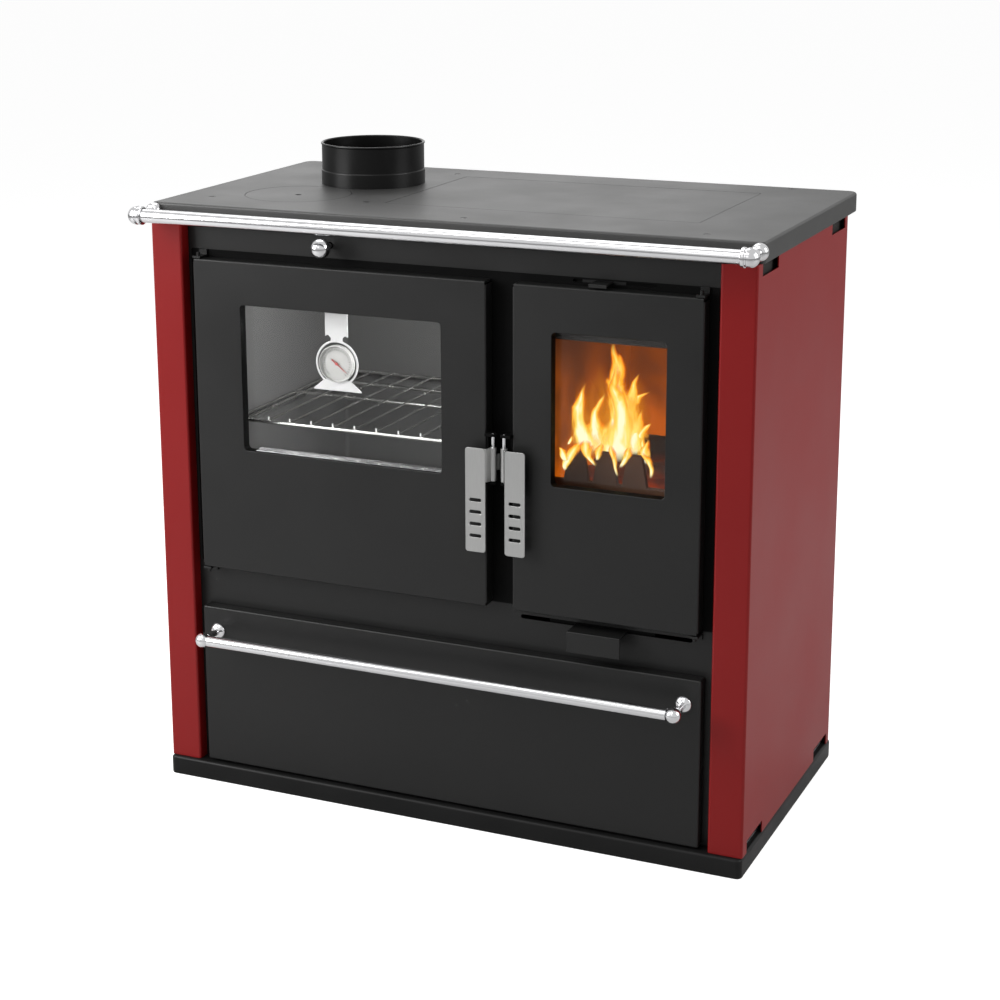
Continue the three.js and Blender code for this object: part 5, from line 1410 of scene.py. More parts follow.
@dataclass
class Door:
    """A glazed door with its seal, hinge pins, bracket and handle."""

    label: str
    body: str
    latch: str
    outer: Bounds
    window: Bounds
    hinge: int

    face_y: float = -223.0
    back_y: float = -203.0
    sheet: float = 2.0
    relief: float = 5.0

    def skin(self) -> Object:
        """Folded door sheet: face, rolled edges, flanges and a window reveal."""
        outer, window = self.outer, self.window
        face, back, t = self.face_y, self.back_y, self.sheet
        sections = [section(window, 5.5, -208.2), section(window, 5.5, face + 1.0)]
        for i in range(1, 4):
            angle = math.radians(90 * i / 3)
            grow = 1.0 * (1 - math.cos(angle))
            depth = face + 1.0 * (1 - math.sin(angle))
            sections.append(section(window.shrink(-grow), 5.5 + grow, depth))
        roll = rounding(outer, 3.0, -1, face, 2.4, 5)
        sections += roll[::-1]
        sections += [section(outer, 3.0, back + 0.4), section(outer.shrink(0.4), 2.6, back)]
        sections += [section(outer.shrink(t), 1.2, back), section(outer.shrink(t), 1.2, face + t)]
        sections += [section(window.shrink(-t), 7.5, face + t), section(window.shrink(-t), 7.5, -208.2)]
        piece = loft(f"{self.label}_door_sheet", sections, Plane.XZ, ring=True)
        tools = []
        for x in (outer.left, outer.right):
            for z in (outer.low, outer.high):
                tools.append(
                    block("r", (x - t, face - 2, z - self.relief), (x + t, back + 2, z + self.relief))
                )
        hinge_x = outer.left + 6 if self.hinge < 0 else outer.right - 6
        for z in (outer.low, outer.high):
            profile = [(0, -4), (2.9, -4), (2.9, 4), (0, 4)]
            hole = turned("h", profile, (hinge_x, -217, z), Vector((0, 0, 1)), 24)
            tools.append(hole)
        return even(carve(piece, tools))

    def inner_panel(self) -> Object:
        """Inner sheet: rope channel, step and frame round the glass."""
        outer = self.outer.shrink(3.25)
        step = self.outer.shrink(24.3)
        window = self.window.shrink(-3)
        rows = [
            (outer, 2, -214.2), (outer, 2, -212.2), (step, 12, -212.2), (step, 12, -202.6),
            (step.shrink(1), 11, -201.6), (window.shrink(-1), 7, -201.6), (window, 6, -202.6),
            (window, 6, -203.6), (step.shrink(2), 10, -203.6), (step.shrink(2), 10, -214.2),
        ]
        sections = [section(b, r, y) for b, r, y in rows]
        return even(loft(f"{self.label}_door_lining", sections, Plane.XZ, ring=True))

    def rope(self) -> Object:
        """Twisted seal rope round the door, drawn by geometry nodes along its path."""
        middle = self.outer.shrink(19.5)
        path = middle.loop((13.5,) * 4, 8)
        mesh = bpy.data.meshes.new(f"{self.label}_seal_rope")
        spots = [(x * MM, -205.7 * MM, z * MM) for x, z in path]
        mesh.from_pydata(spots, [(i, (i + 1) % len(spots)) for i in range(len(spots))], [])
        carrier = bpy.data.objects.new(mesh.name, mesh)
        bpy.context.scene.collection.objects.link(carrier)
        tree, entry, leave, names = geometry_tree(
            f"{self.label}_rope_tree",
            {"Radius": ("NodeSocketFloat", 0.0042), "Pitch": ("NodeSocketFloat", 0.014)},
        )
        curve = tree.nodes.new("GeometryNodeMeshToCurve")
        even_steps = tree.nodes.new("GeometryNodeResampleCurve")
        even_steps.mode = "LENGTH"
        even_steps.inputs["Length"].default_value = 0.0025
        tilt = tree.nodes.new("GeometryNodeSetCurveTilt")
        along = tree.nodes.new("GeometryNodeSplineParameter")
        star = tree.nodes.new("GeometryNodeCurveStar")
        star.inputs["Points"].default_value = 3
        round_star = tree.nodes.new("GeometryNodeSubdivideCurve")
        round_star.inputs["Cuts"].default_value = 1
        skin = tree.nodes.new("GeometryNodeCurveToMesh")
        material = tree.nodes.new("GeometryNodeSetMaterial")
        material.inputs["Material"].default_value = PALETTE.finish["rope"]
        turns = math_node(tree, "DIVIDE", along.outputs["Length"], entry.outputs["Pitch"])
        angle = math_node(tree, "MULTIPLY", turns, 2 * math.pi)
        inner = math_node(tree, "MULTIPLY", entry.outputs["Radius"], 0.72)
        tree.links.new(entry.outputs["Geometry"], curve.inputs[0])
        tree.links.new(curve.outputs[0], even_steps.inputs[0])
        tree.links.new(even_steps.outputs[0], tilt.inputs[0])
        tree.links.new(angle, tilt.inputs["Tilt"])
        tree.links.new(entry.outputs["Radius"], star.inputs["Outer Radius"])
        tree.links.new(inner, star.inputs["Inner Radius"])
        tree.links.new(star.outputs[0], round_star.inputs[0])
        tree.links.new(tilt.outputs[0], skin.inputs["Curve"])
        tree.links.new(round_star.outputs[0], skin.inputs["Profile Curve"])
        realize = tree.nodes.new("GeometryNodeRealizeInstances")
        tree.links.new(skin.outputs[0], realize.inputs[0])
        tree.links.new(realize.outputs[0], material.inputs[0])
        tree.links.new(material.outputs[0], leave.inputs[0])
        rope = run_tree(carrier, tree, {"Radius": 0.0042, "Pitch": 0.014}, names)
        clean(rope.data, 60)
        return rope

    def handle(self) -> Object:
        """Bent handle plate with its slots, web, barrel and latch tongue."""
        side = self.hinge
        edge = self.outer.right if side < 0 else self.outer.left
        pin_x, pin_y = edge - side * 10.9, -224.6
        inner = pin_x + side * 6
        far = inner + side * 29
        low_x, high_x = sorted((inner, far))
        middle = (low_x + high_x) / 2
        top, bottom, face = 555.0, 411.0, -238.0
        slots = []
        for i in range(4):
            z = top - 71.6 - i * 16.6
            slots.append(Bounds(middle - 8.5, middle + 8.5, z - 2.4, z + 2.4).loop((2.0,) * 4, 4))
        round_at = 4.0
        plate_outline = Bounds(low_x, high_x, bottom, top).loop((round_at,) * 4, 6)
        grip = plate("grip", plate_outline, slots, face, face + 2, Plane.XZ)
        web_path = [(inner + side * 3.0, face + 1.05), (inner, face + 1.05), (pin_x, pin_y - 1.0)]
        web = plate("web", sheet_outline(web_path, 1.8, 1.6), [], top - 46, top - 0.15, Plane.XY)
        barrel = turned(
            "barrel", [(0, 0), (4.4, 0), (4.8, 0.4), (4.8, 45.6), (4.4, 46), (0, 46)],
            (pin_x, pin_y, top - 46), Vector((0, 0, 1)), 40,
        )
        mid = top - 23
        tongue = plate(
            "tongue",
            [
                (pin_x + side * 1.5, pin_y + 1), (pin_x + side * 1.5, pin_y + 15),
                (pin_x - side * 4.7, pin_y + 15), (pin_x - side * 4.7, pin_y + 12),
                (pin_x - side * 1.5, pin_y + 12), (pin_x - side * 1.5, pin_y + 1),
            ],
            [], mid - 11, mid + 11, Plane.XY,
        )
        bore = turned(
            "bore", [(0, -2), (2.7, -2), (2.7, 50), (0, 50)], (pin_x, pin_y, top - 46), Vector((0, 0, 1)), 32
        )
        piece = carve(grip, [web, barrel, tongue], "UNION")
        piece = carve(piece, [bore])
        piece.name = f"{self.label}_door_grip"
        return soften(piece, 0.4, 2, 50)

    def pin(self) -> Object:
        """Polished handle pin."""
        side = self.hinge
        edge = self.outer.right if side < 0 else self.outer.left
        profile = [(0, 0), (1.9, 0), (2.4, 0.5), (2.4, 68.8), (1.9, 69.3), (0, 69.3)]
        centre = (edge - side * 10.9, -224.6, 504.7)
        return turned(f"{self.label}_door_pin", profile, centre, Vector((0, 0, 1)), 32)

    def build(self) -> None:
        """Builds and dresses the door."""
        key = self.label
        skin = dress(self.skin(), "black", Slot.BLACK, self.body, f"{key}_door_skin")
        hole = self.window.shrink(-0.5)

        def reveal(spot: Vector) -> bool:
            """Whether a spot lies on the wall of the window opening."""
            across = hole.left < spot.x < hole.right and hole.low < spot.z < hole.high
            return across and -222.4 < spot.y < -208.5

        # The walls of the window opening take the near-black finish as painted shade.
        shade_part(skin, "shadow", reveal)
        glass = plate(
            f"{key}_door_pane", self.window.shrink(-12).loop((6,) * 4), [], -207.9, -203.9, Plane.XZ
        )
        glass = dress(soften(glass, 0.4), "glass", Slot.GLASS, self.body, f"{key}_door_glass")
        glass.visible_shadow = False
        dress(self.inner_panel(), "iron", Slot.IRON, self.body, f"{key}_door_inner_panel")
        dress(self.rope(), "rope", Slot.ROPE, self.body, f"{key}_door_seal")
        # The handle brackets take the near-black finish as painted shade.
        bracket = refine(f"{key}_handle_bracket", 0.4)
        dress(bracket, "shadow", Slot.BLACK, self.body, f"{key}_handle_bracket")
        dress(even(self.pin()), "chrome", Slot.CHROME, self.body, f"{key}_handle_pin")
        dress(self.handle(), "brushed", Slot.BRUSHED, self.latch, f"{key}_handle")
        for end in ("top", "bottom"):
            node = f"{key}_hinge_{end}"
            dress(refine(node, 0.3), "black", Slot.BLACK, "stove", node)


@dataclass
class Sill:
    """Polished strip along the bottom of the oven window."""

    window: Bounds

    def build(self) -> None:
        """Builds and dresses the strip."""
        left, right = self.window.left + 18, self.window.right - 0.6
        z = self.window.low
        path = [(-220.4, z + 0.9), (-214.6, z + 1.9), (-209.2, z + 3.4)]
        outline = sheet_outline(path, 0.8, 3.0)
        strip = plate("window_sill_strip", outline, [], left, right, Plane.YZ)
        dress(soften(strip, 0.2), "chrome", Slot.CHROME, "oven_door")


# ------------------------------------------------------------------ thermometer


@dataclass
class Thermometer:
    """Oven thermometer hung behind the oven door's glass."""

    x: float = -162.0
    z: float = 640.5
    plate_y: float = -196.0
    sheet: float = 1.5

    def frame_plate(self) -> Object:
        """Strap with its ears, neck, ring and foot."""
        x, z, y = self.x, self.z, self.plate_y
        top = 734.5
        strap = plate(
            "strap",
            [
                (x - 9, z + 31), (x + 9, z + 31), (x + 9, z + 36), (x + 13, z + 39.5), (x + 17.5, z + 37.5),
                (x + 17.5, top), (x - 17.5, top), (x - 17.5, z + 37.5), (x - 13, z + 39.5), (x - 9, z + 36),
            ],
            [], y, y + self.sheet, Plane.XZ,
        )
        ring = plate(
            "ring", round_outline(x, z, 32.5, 96), [round_outline(x, z, 29.6, 96)],
            y, y + self.sheet, Plane.XZ,
        )
        foot = plate(
            "foot",
            [
                (x - 36.5, z - 38.5), (x + 36.5, z - 38.5), (x + 36.5, z - 36.8), (x + 20, z - 23),
                (x - 20, z - 23), (x - 36.5, z - 36.8),
            ],
            [], y, y + self.sheet, Plane.XZ,
        )
        hem = block("hem", (x - 17.5, -201.3, 722.5), (x + 17.5, y + 0.4, top))
        hole = turned("hole", [(0, -3), (26.4, -3), (26.4, 4), (0, 4)], (x, y, z), Vector((0, 1, 0)), 96)
        piece = carve(strap, [ring, foot, hem], "UNION")
        piece = carve(piece, [hole])
        piece.name = "thermometer_bezel"
        return soften(piece, 0.3, 2)

    def case(self) -> Object:
        """Cup with a rolled lip; its face lies deep inside."""
        profile = [(0, 4.6), (23.4, 4.6), (24.3, 3.6), (24.3, 0.7), (24.9, 0.1), (25.7, 0.3), (26, 1.0)]
        profile += [(26, 7.6), (25.2, 8.5), (0, 8.5)]
        return turned("thermometer_cup", profile, (self.x, -200.25, self.z), Vector((0, 1, 0)), 96)

    def marks(self) -> Object:
        """Scale marks round the dial, set by geometry nodes."""
        tree, entry, leave, names = geometry_tree(
            "dial_marks_tree",
            {"Count": ("NodeSocketInt", 29), "Radius": ("NodeSocketFloat", 0.0195)},
        )
        line = tree.nodes.new("GeometryNodeMeshLine")
        spread = tree.nodes.new("GeometryNodeInstanceOnPoints")
        bar = tree.nodes.new("GeometryNodeMeshCube")
        bar.inputs["Size"].default_value = (0.0007, 0.0003, 0.0030)
        index = tree.nodes.new("GeometryNodeInputIndex")
        angle = math_node(tree, "MULTIPLY", index.outputs[0], math.radians(10))
        angle = math_node(tree, "SUBTRACT", angle, math.radians(140))
        turn = tree.nodes.new("ShaderNodeCombineXYZ")
        tree.links.new(angle, turn.inputs["Y"])
        place_at = tree.nodes.new("ShaderNodeCombineXYZ")
        for operation, axis in (("SINE", "X"), ("COSINE", "Z")):
            share = math_node(tree, operation, angle, None)
            reach = math_node(tree, "MULTIPLY", share, entry.outputs["Radius"])
            tree.links.new(reach, place_at.inputs[axis])
        move = tree.nodes.new("GeometryNodeSetPosition")
        move_all = tree.nodes.new("GeometryNodeTransform")
        move_all.inputs["Translation"].default_value = (self.x * MM, -195.75 * MM, self.z * MM)
        realize = tree.nodes.new("GeometryNodeRealizeInstances")
        material = tree.nodes.new("GeometryNodeSetMaterial")
        material.inputs["Material"].default_value = PALETTE.finish["mark"]
        tree.links.new(entry.outputs["Count"], line.inputs["Count"])
        tree.links.new(line.outputs[0], move.inputs[0])
        tree.links.new(place_at.outputs[0], move.inputs["Position"])
        tree.links.new(move.outputs[0], spread.inputs["Points"])
        tree.links.new(bar.outputs[0], spread.inputs["Instance"])
        tree.links.new(turn.outputs[0], spread.inputs["Rotation"])
        tree.links.new(spread.outputs[0], move_all.inputs[0])
        tree.links.new(move_all.outputs[0], realize.inputs[0])
        tree.links.new(realize.outputs[0], material.inputs[0])
        tree.links.new(material.outputs[0], leave.inputs[0])
        carrier = new_points("dial_marks", [(0, 0, 0)])
        return run_tree(carrier, tree, {"Count": 29, "Radius": 0.0195}, names)

    def needle(self) -> Object:
        """Pointer with a hub."""
        angle = math.radians(-38)
        turn = Matrix.Rotation(angle, 2)
        shape = [(-9, -1.1), (-3, -0.9), (19, -0.35), (19, 0.35), (-3, 0.9), (-9, 1.1)]
        outline = []
        for a, b in shape:
            spot = turn @ Vector((a, b))
            outline.append((self.x + spot.x, self.z + spot.y))
        pointer = plate("thermometer_pointer", outline, [], -197.9, -197.2, Plane.XZ)
        profile = [(0, 0), (2.2, 0), (2.2, 1.1), (0, 1.1)]
        hub = turned("hub", profile, (self.x, -198.2, self.z), Vector((0, 1, 0)), 24)
        return soften(carve(pointer, [hub], "UNION"), 0.12)

    def build(self) -> None:
        """Builds and dresses the thermometer."""
        dress(self.frame_plate(), "bright", Slot.BRUSHED, "oven_door", "thermometer_plate")
        dress(self.case(), "dial", Slot.DIAL, "oven_door", "thermometer_case")
        dress(self.marks(), "mark", Slot.DIAL, "oven_door")
        dress(self.needle(), "needle", Slot.NEEDLE, "needle", "thermometer_needle")


# ------------------------------------------------------------------ oven


@dataclass
class Oven:
    """Oven liner and its wire rack."""

    left: float = -337.5
    right: float = 39.5
    front: float = -172.0
    back: float = 160.0
    z: float = 540.0
    wire: float = 1.7
    pitch: float = 34.0

    def liner(self) -> Object:
        """Oven box with rounded corners, open at the front, with a ledge on each side."""
        inside, outside = Bounds(-343.5, 45.5, 357, 750), Bounds(-355.5, 57.5, 345, 762)
        sections = [section(outside, 4, 177), section(outside, 4, -198.2), section(inside, 9, -198.2)]
        sections += [section(inside, 9, 168.0)]
        for i in range(1, 5):
            angle = math.radians(90 * i / 4)
            inset = 7 * (1 - math.cos(angle))
            sections.append(section(inside.shrink(inset), 9 - inset, 168 + 7 * math.sin(angle)))
        box = even(loft("oven_box", sections, Plane.XZ))
        ledges = []
        for x, side in ((-343.5, 1), (45.5, -1)):
            path = [(x + side * 0.4, 523), (x + side * 7, 530), (x + side * 7, 535.8), (x + side * 0.4, 535.8)]
            ledge = plate("ledge", path, [], -170, 160, Plane.XZ)
            ledges.append(soften(ledge, 1.0, 3))
        return weld("oven_box", [box, *ledges])

    def wires(self) -> Object:
        """Depth wires with upturned front ends, repeated by geometry nodes."""
        z = 2.6
        path = [(0, self.back, z), (0, self.front + 1.5, z)]
        for i in range(1, 6):
            angle = math.radians(90 * i / 5)
            path.append((0, self.front - 0.5 * math.sin(angle), z + 1.5 * (1 - math.cos(angle))))
        path.append((0, self.front - 0.5, z + 5.6))
        wire = tube_along("rack_wire", path, self.wire, 4)
        count = int((self.right - self.left) // self.pitch)
        first = (self.left + self.right) / 2 - (count - 1) * self.pitch / 2
        spots = [(first + i * self.pitch, 0, self.z) for i in range(count)]
        return repeat_on_points("rack_wires", wire, spots, "wire")

    def build(self) -> None:
        """Builds and dresses the oven's inside."""
        dress(self.liner(), "oven", Slot.OVEN, "stove", "oven_liner")
        r = 3.0
        parts = []
        for y in (self.front, 0.0, 85.0, self.back):
            rod = [(self.left - r, y, self.z), (self.right + r, y, self.z)]
            parts.append(tube_along("bar", rod, r, 6))
        for x in (self.left, self.right):
            parts.append(tube_along("bar", [(x, self.front, self.z), (x, self.back, self.z)], 2.6, 6))
        frame_wire = weld("rack_frame", parts)
        dress(frame_wire, "wire", Slot.CHROME, "stove", "oven_rack")
        dress(self.wires(), "wire", Slot.CHROME, "stove")
        paint("flue_divider", "iron")


# ------------------------------------------------------------------ firebox


@dataclass(frozen=True)
class Tongue:
    """One flame sheet: depth, kind of flame and (x, z, half width) from its tip to its foot."""

    depth: float
    kind: int
    spine: tuple[Point, ...]


TONGUES = (
    Tongue(-118, 0, (
        (213, 689, 0.7), (214, 677, 5.1), (221, 656, 9.2), (217, 633, 12.0), (223, 612, 17.7),
        (226, 592, 19.1), (224, 568, 25.6), (218, 544, 28.5), (217, 523, 21.4),
    )),
    Tongue(-126, 1, (
        (218, 665, 0.7), (221, 649, 4.2), (218, 627, 7.8), (225, 607, 11.3),
        (228, 587, 12.7), (224, 562, 17.0), (220, 539, 18.5), (219, 525, 12.8),
    )),
    Tongue(-112, 2, (
        (248, 647, 0.7), (242, 636, 3.9), (238, 622, 7.1),
        (232, 605, 9.9), (227, 584, 12.8), (225, 558, 14.2),
    )),
    Tongue(-108, 1, (
        (263, 622, 0.7), (252, 617, 3.7), (241, 611, 7.1),
        (231, 598, 10.6), (223, 579, 12.8), (220, 554, 14.3),
    )),
    Tongue(-120, 2, (
        (175, 630, 0.7), (170, 617, 3.3), (167, 604, 7.5), (165, 593, 10.4),
        (165, 578, 9.5), (170, 563, 13.0), (175, 545, 17.3), (178, 527, 14.4),
    )),
    Tongue(-116, 0, ((152, 594, 0.7), (157, 590, 3.5), (163, 582, 5.2), (167, 567, 6.5), (172, 548, 8.7))),
    Tongue(-110, 0, (
        (199, 614, 0.7), (193, 603, 3.7), (186, 587, 6.0),
        (184, 570, 8.6), (185, 551, 13.0), (185, 531, 13.0),
    )),
    Tongue(-92, 1, (
        (185, 575, 1.4), (182, 565, 12.9), (182, 554, 18.7),
        (182, 541, 20.1), (184, 527, 14.4),
    )),
    Tongue(-90, 0, (
        (230, 585, 1.4), (230, 574, 12.7), (228, 560, 18.4),
        (226, 546, 21.3), (225, 530, 15.6),
    )),
    Tongue(-94, 2, ((203, 573, 1.4), (203, 560, 11.4), (202, 545, 20.0), (202, 528, 17.2))),
    Tongue(-112, 2, (
        (252, 597, 0.7), (248, 584, 4.2), (244, 567, 8.5),
        (239, 549, 12.8), (236, 532, 11.4),
    )),
    Tongue(-110, 0, ((265, 579, 0.7), (258, 574, 3.7), (251, 564, 6.5), (245, 550, 9.2), (241, 535, 9.9))),
    Tongue(-122, 1, ((265, 560, 0.8), (263, 552, 3.7), (260, 544, 6.5), (259, 534, 7.8), (262, 525, 5.6))),
    Tongue(-118, 2, ((255, 560, 0.7), (256, 552, 3.1), (258, 543, 5.1), (260, 533, 5.1))),
    Tongue(-116, 0, ((154, 552, 0.7), (151, 545, 2.2), (148, 539, 1.5))),
    Tongue(-181, 1, (
        (192, 565, 1.4), (187, 558, 6.5), (180, 549, 7.7),
        (174, 538, 6.3), (170, 528, 3.7), (169, 521, 0.9),
    )),
    Tongue(-181, 0, ((160, 553, 0.9), (165, 550, 4.6), (169, 543, 6.0), (171, 535, 4.6))),
    Tongue(-181, 2, ((197, 567, 1.4), (199, 558, 9.9), (202, 548, 7.8), (207, 541, 5.4), (212, 532, 2.0))),
    Tongue(-181, 0, ((222, 565, 1.4), (219, 557, 5.9), (216, 548, 4.5), (214, 540, 2.0))),
    Tongue(-181, 1, ((233, 564, 1.4), (237, 555, 5.0), (239, 544, 3.6), (240, 533, 2.8), (243, 521, 1.1))),
    Tongue(-181, 2, ((260, 564, 1.4), (258, 556, 5.5), (254, 546, 4.4), (247, 534, 2.0))),
    Tongue(-181, 0, ((276, 559, 1.4), (282, 552, 5.5), (287, 544, 4.1), (291, 535, 3.0), (289, 524, 1.1))),
    Tongue(-60, 3, ((148, 628, 1.5), (145, 600, 17.6), (147, 567, 23.6), (153, 532, 26.6))),
    Tongue(-50, 3, ((166, 645, 1.5), (172, 610, 23.4), (175, 575, 32.2), (176, 532, 35.3))),
    Tongue(-56, 3, ((226, 635, 1.4), (224, 606, 17.3), (221, 574, 23.1), (216, 538, 26.1))),
)


def smooth_row(rows: Sequence[Point], along: float) -> Vector:
    """Catmull-Rom value of a row of points at a place from 0 to 1.

    Args:
        rows: Points to pass through.
        along: Place from the first point to the last.

    Returns:
        The value there.
    """
    spot = along * (len(rows) - 1)
    index = min(int(spot), len(rows) - 2)
    t = spot - index
    a, b = Vector(rows[max(index - 1, 0)]), Vector(rows[index])
    c, d = Vector(rows[index + 1]), Vector(rows[min(index + 2, len(rows) - 1)])
    curve = (c - a) * t + (2 * a - 5 * b + 4 * c - d) * t * t + (3 * b - a - 3 * c + d) * t ** 3
    return b + curve * 0.5


@dataclass
class Firebox:
    """Lining, grate, guard, ash pan, logs, embers and flames."""

    rows: int = 26
    columns: int = 8
    spread: float = 1.28

    def flame(self, index: int, tongue: Tongue) -> tuple[list[Point], list[list[int]], list[Flat]]:
        """Points, faces and UV of one curved flame sheet.

        Args:
            index: Number of the flame.
            tongue: Its spine.

        Returns:
            Points, faces and one UV for each point.
        """
        points, uv = [], []
        for row in range(self.rows + 1):
            down = row / self.rows
            x, z, half = smooth_row(tongue.spine, down)
            half = max(half, 0.3) * self.spread
            for column in range(self.columns + 1):
                across = column / self.columns
                bow = min(half, 5.0) * math.cos((across - 0.5) * math.pi)
                bow += 2.5 * math.sin(down * 6 + index) * min(1.0, half / 6)
                points.append((x + (across - 0.5) * 2 * half, tongue.depth - bow, z))
                uv.append((across, 1 - down))
        faces = []
        stride = self.columns + 1
        for row in range(self.rows):
            for column in range(self.columns):
                here = row * stride + column
                faces.append([here, here + 1, here + stride + 1, here + stride])
        return points, faces, uv

    def flames(self, kind: int) -> Object:
        """All flame sheets of one kind, as one piece with its UV map.

        Args:
            kind: Kind of flame.

        Returns:
            The piece.
        """
        points: list[Point] = []
        faces: list[list[int]] = []
        uv: list[Flat] = []
        for index, tongue in enumerate(TONGUES):
            if tongue.kind != kind:
                continue
            start = len(points)
            spots, quads, place_uv = self.flame(index, tongue)
            points += spots
            uv += place_uv
            faces += [[start + i for i in quad] for quad in quads]
        mesh = bpy.data.meshes.new(f"flames_{kind}")
        mesh.from_pydata([tuple(c * MM for c in p) for p in points], [], faces)
        layer = mesh.uv_layers.new(name="flame")
        for loop in mesh.loops:
            layer.data[loop.index].uv = uv[loop.vertex_index]
        mesh.shade_smooth()
        piece = bpy.data.objects.new(mesh.name, mesh)
        bpy.context.scene.collection.objects.link(piece)
        piece.data.materials.append(PALETTE.flames[kind])
        return piece

    def log_piece(self, name: str, start: Point, end: Point, radius: float, seed: int) -> Object:
        """A rough split log between two points.

        Args:
            name: Name of the piece.
            start: Middle of one end.
            end: Middle of the other end.
            radius: Mean radius.
            seed: Seed of the rough surface.

        Returns:
            The log.
        """
        rng = random.Random(seed)
        first, last = Vector(start), Vector(end)
        axis = last - first
        side = axis.cross(Vector((0, 0, 1))).normalized()
        up = side.cross(axis).normalized()
        rings, around = 22, 28
        lobes = [(rng.uniform(0.03, 0.10), rng.randint(2, 7), rng.uniform(0, 6.3)) for _ in range(5)]
        points = []
        for i in range(rings + 1):
            along = i / rings
            centre = first + axis * along + up * (4 * math.sin(along * 4 + seed))
            for j in range(around):
                angle = 2 * math.pi * j / around
                size = radius * (1 + sum(a * math.sin(n * angle + p + along * 2.2) for a, n, p in lobes))
                size *= 1 + rng.uniform(-0.035, 0.035)
                points.append(tuple(centre + side * size * math.cos(angle) + up * size * math.sin(angle)))
        faces = []
        for i in range(rings):
            for j in range(around):
                k = (j + 1) % around
                faces.append([i * around + j, i * around + k, (i + 1) * around + k, (i + 1) * around + j])
        faces.append(list(range(around)))
        faces.append([rings * around + j for j in range(around)])
        return new_piece(name, points, faces)

    def ember_bed(self) -> Object:
        """Loose bed of coals on the grate, scattered by geometry nodes."""
        rng = random.Random(7)
        tool = self.log_piece("coal", (-6, 0, 0), (6, 1, 0), 5.5, 3)
        spots = []
        for _ in range(190):
            x, y = rng.uniform(146, 335), rng.uniform(-160, 140)
            spots.append((x, y, 460 + rng.uniform(0, 12) + 9 * math.exp(-((y + 40) / 90) ** 2)))
        return repeat_on_points("ember_bed", tool, spots, "ember")

    def build(self) -> None:
        """Builds and dresses the firebox."""
        # The firebrick finish carries painted firelight.
        for node in ("firebrick_left", "firebrick_right", "firebrick_back"):
            dress(refine(node, 1.5, 2), "brick", Slot.BRICK, "stove", node)
        for node in ("firebox_shell", "fire_grate"):
            paint(node, "iron")
        # The latch keeper takes the near-black finish as painted shade.
        paint("latch_keeper", "shadow")
        dress(refine("log_guard", 1.2, 3), "guard", Slot.IRON, "stove", "log_guard")
        dress(refine("ash_pan", 0.4), "zinc", Slot.ZINC, "stove", "ash_pan")
        path = [(-197.0, 742), (-197.0, 703.4), (-172, 700)]
        strip = plate("air_wash_strip", sheet_outline(path, 1.6, 2.4), [], 142, 339, Plane.YZ)
        dress(soften(strip, 0.2), "iron", Slot.IRON, "stove")
        # The lip takes the firebrick finish and so the same painted firelight glow.
        lip = plate("air_wash_lip", sheet_outline([(-186, 701.2), (-172, 699)], 1.2, 1), [], 146, 335, Plane.YZ)
        dress(soften(lip, 0.2), "brick", Slot.BRICK, "stove")
        logs = [
            self.log_piece("log_a", (150, -96, 488), (330, -70, 494), 21, 11),
            self.log_piece("log_b", (160, -30, 484), (320, -46, 490), 23, 12),
            self.log_piece("log_c", (172, -60, 520), (322, -18, 524), 19, 13),
            self.log_piece("log_d", (150, 30, 486), (325, 50, 488), 24, 14),
        ]
        dress(weld("fire_logs", logs), "log", Slot.IRON, "stove")
        dress(self.ember_bed(), "ember", Slot.IRON, "stove")
        for kind in range(4):
            piece = self.flames(kind)
            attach(piece, "stove")
            piece.visible_shadow = False
            LOG.info("%s: %d faces", piece.name, len(piece.data.polygons))


# ------------------------------------------------------------------ drawer


@dataclass
class Drawer:
    """Drawer front, box, rail and runners."""

    outer: Bounds = field(default_factory=lambda: Bounds(-376.2, 376.2, 31, 268))
    face_y: float = -219.0
    back_y: float = -203.0
    rail_y: float = -261.5
    rail_z: float = 232.5
    end_x: float = 352.5

    def front(self) -> Object:
        """Folded drawer front, open at the back."""
        sections = rounding(self.outer, 3.0, -1, self.face_y, 2.4, 5)[::-1]
        inner = self.outer.shrink(2)
        sections += [section(self.outer, 3.0, self.back_y), section(inner, 1.2, self.back_y)]
        sections += [section(inner, 1.2, self.face_y + 2)]
        return even(loft("drawer_face", sections, Plane.XZ))

    def rail_end(self, side: int) -> Object:
        """Ball on a stem over a domed flange.

        Args:
            side: -1 for left, 1 for right.

        Returns:
            The fitting.
        """
        profile = [(0, -10.8)] + arc(0, 0, 10.8, -84, 60, 22)
        profile += [(5.0, 10.2), (5.0, 36.4), (5.6, 36.9), (8.0, 37.6), (9.9, 39.0), (11.0, 40.6)]
        profile += [(11.5, 41.6), (11.5, 42.2), (0, 42.2)]
        name = "drawer_ball_right" if side > 0 else "drawer_ball_left"
        centre = (side * self.end_x, self.rail_y, self.rail_z)
        return turned(name, profile, centre, Vector((0, 1, 0)), 64)

    def build(self) -> None:
        """Builds and dresses the drawer."""
        dress(self.front(), "black", Slot.BLACK, "drawer", "drawer_front")
        dress(refine("drawer_box", 0.3), "zinc", Slot.ZINC, "drawer", "drawer_box")
        half = self.end_x - 8.9
        profile = [(6.5, -half), (8, -half), (8, half), (6.5, half), (6.5, -half)]
        tube = turned("drawer_tube", profile, (0, self.rail_y, self.rail_z), Vector((1, 0, 0)), 64)
        dress(even(tube), "chrome", Slot.CHROME, "drawer", "drawer_rail_tube")
        for side, node in ((-1, "drawer_rail_end_left"), (1, "drawer_rail_end_right")):
            dress(self.rail_end(side), "chrome", Slot.CHROME, "drawer", node)
        for node in ("drawer_runner_left", "drawer_runner_right"):
            paint(node, "zinc")


# ------------------------------------------------------------------ studio


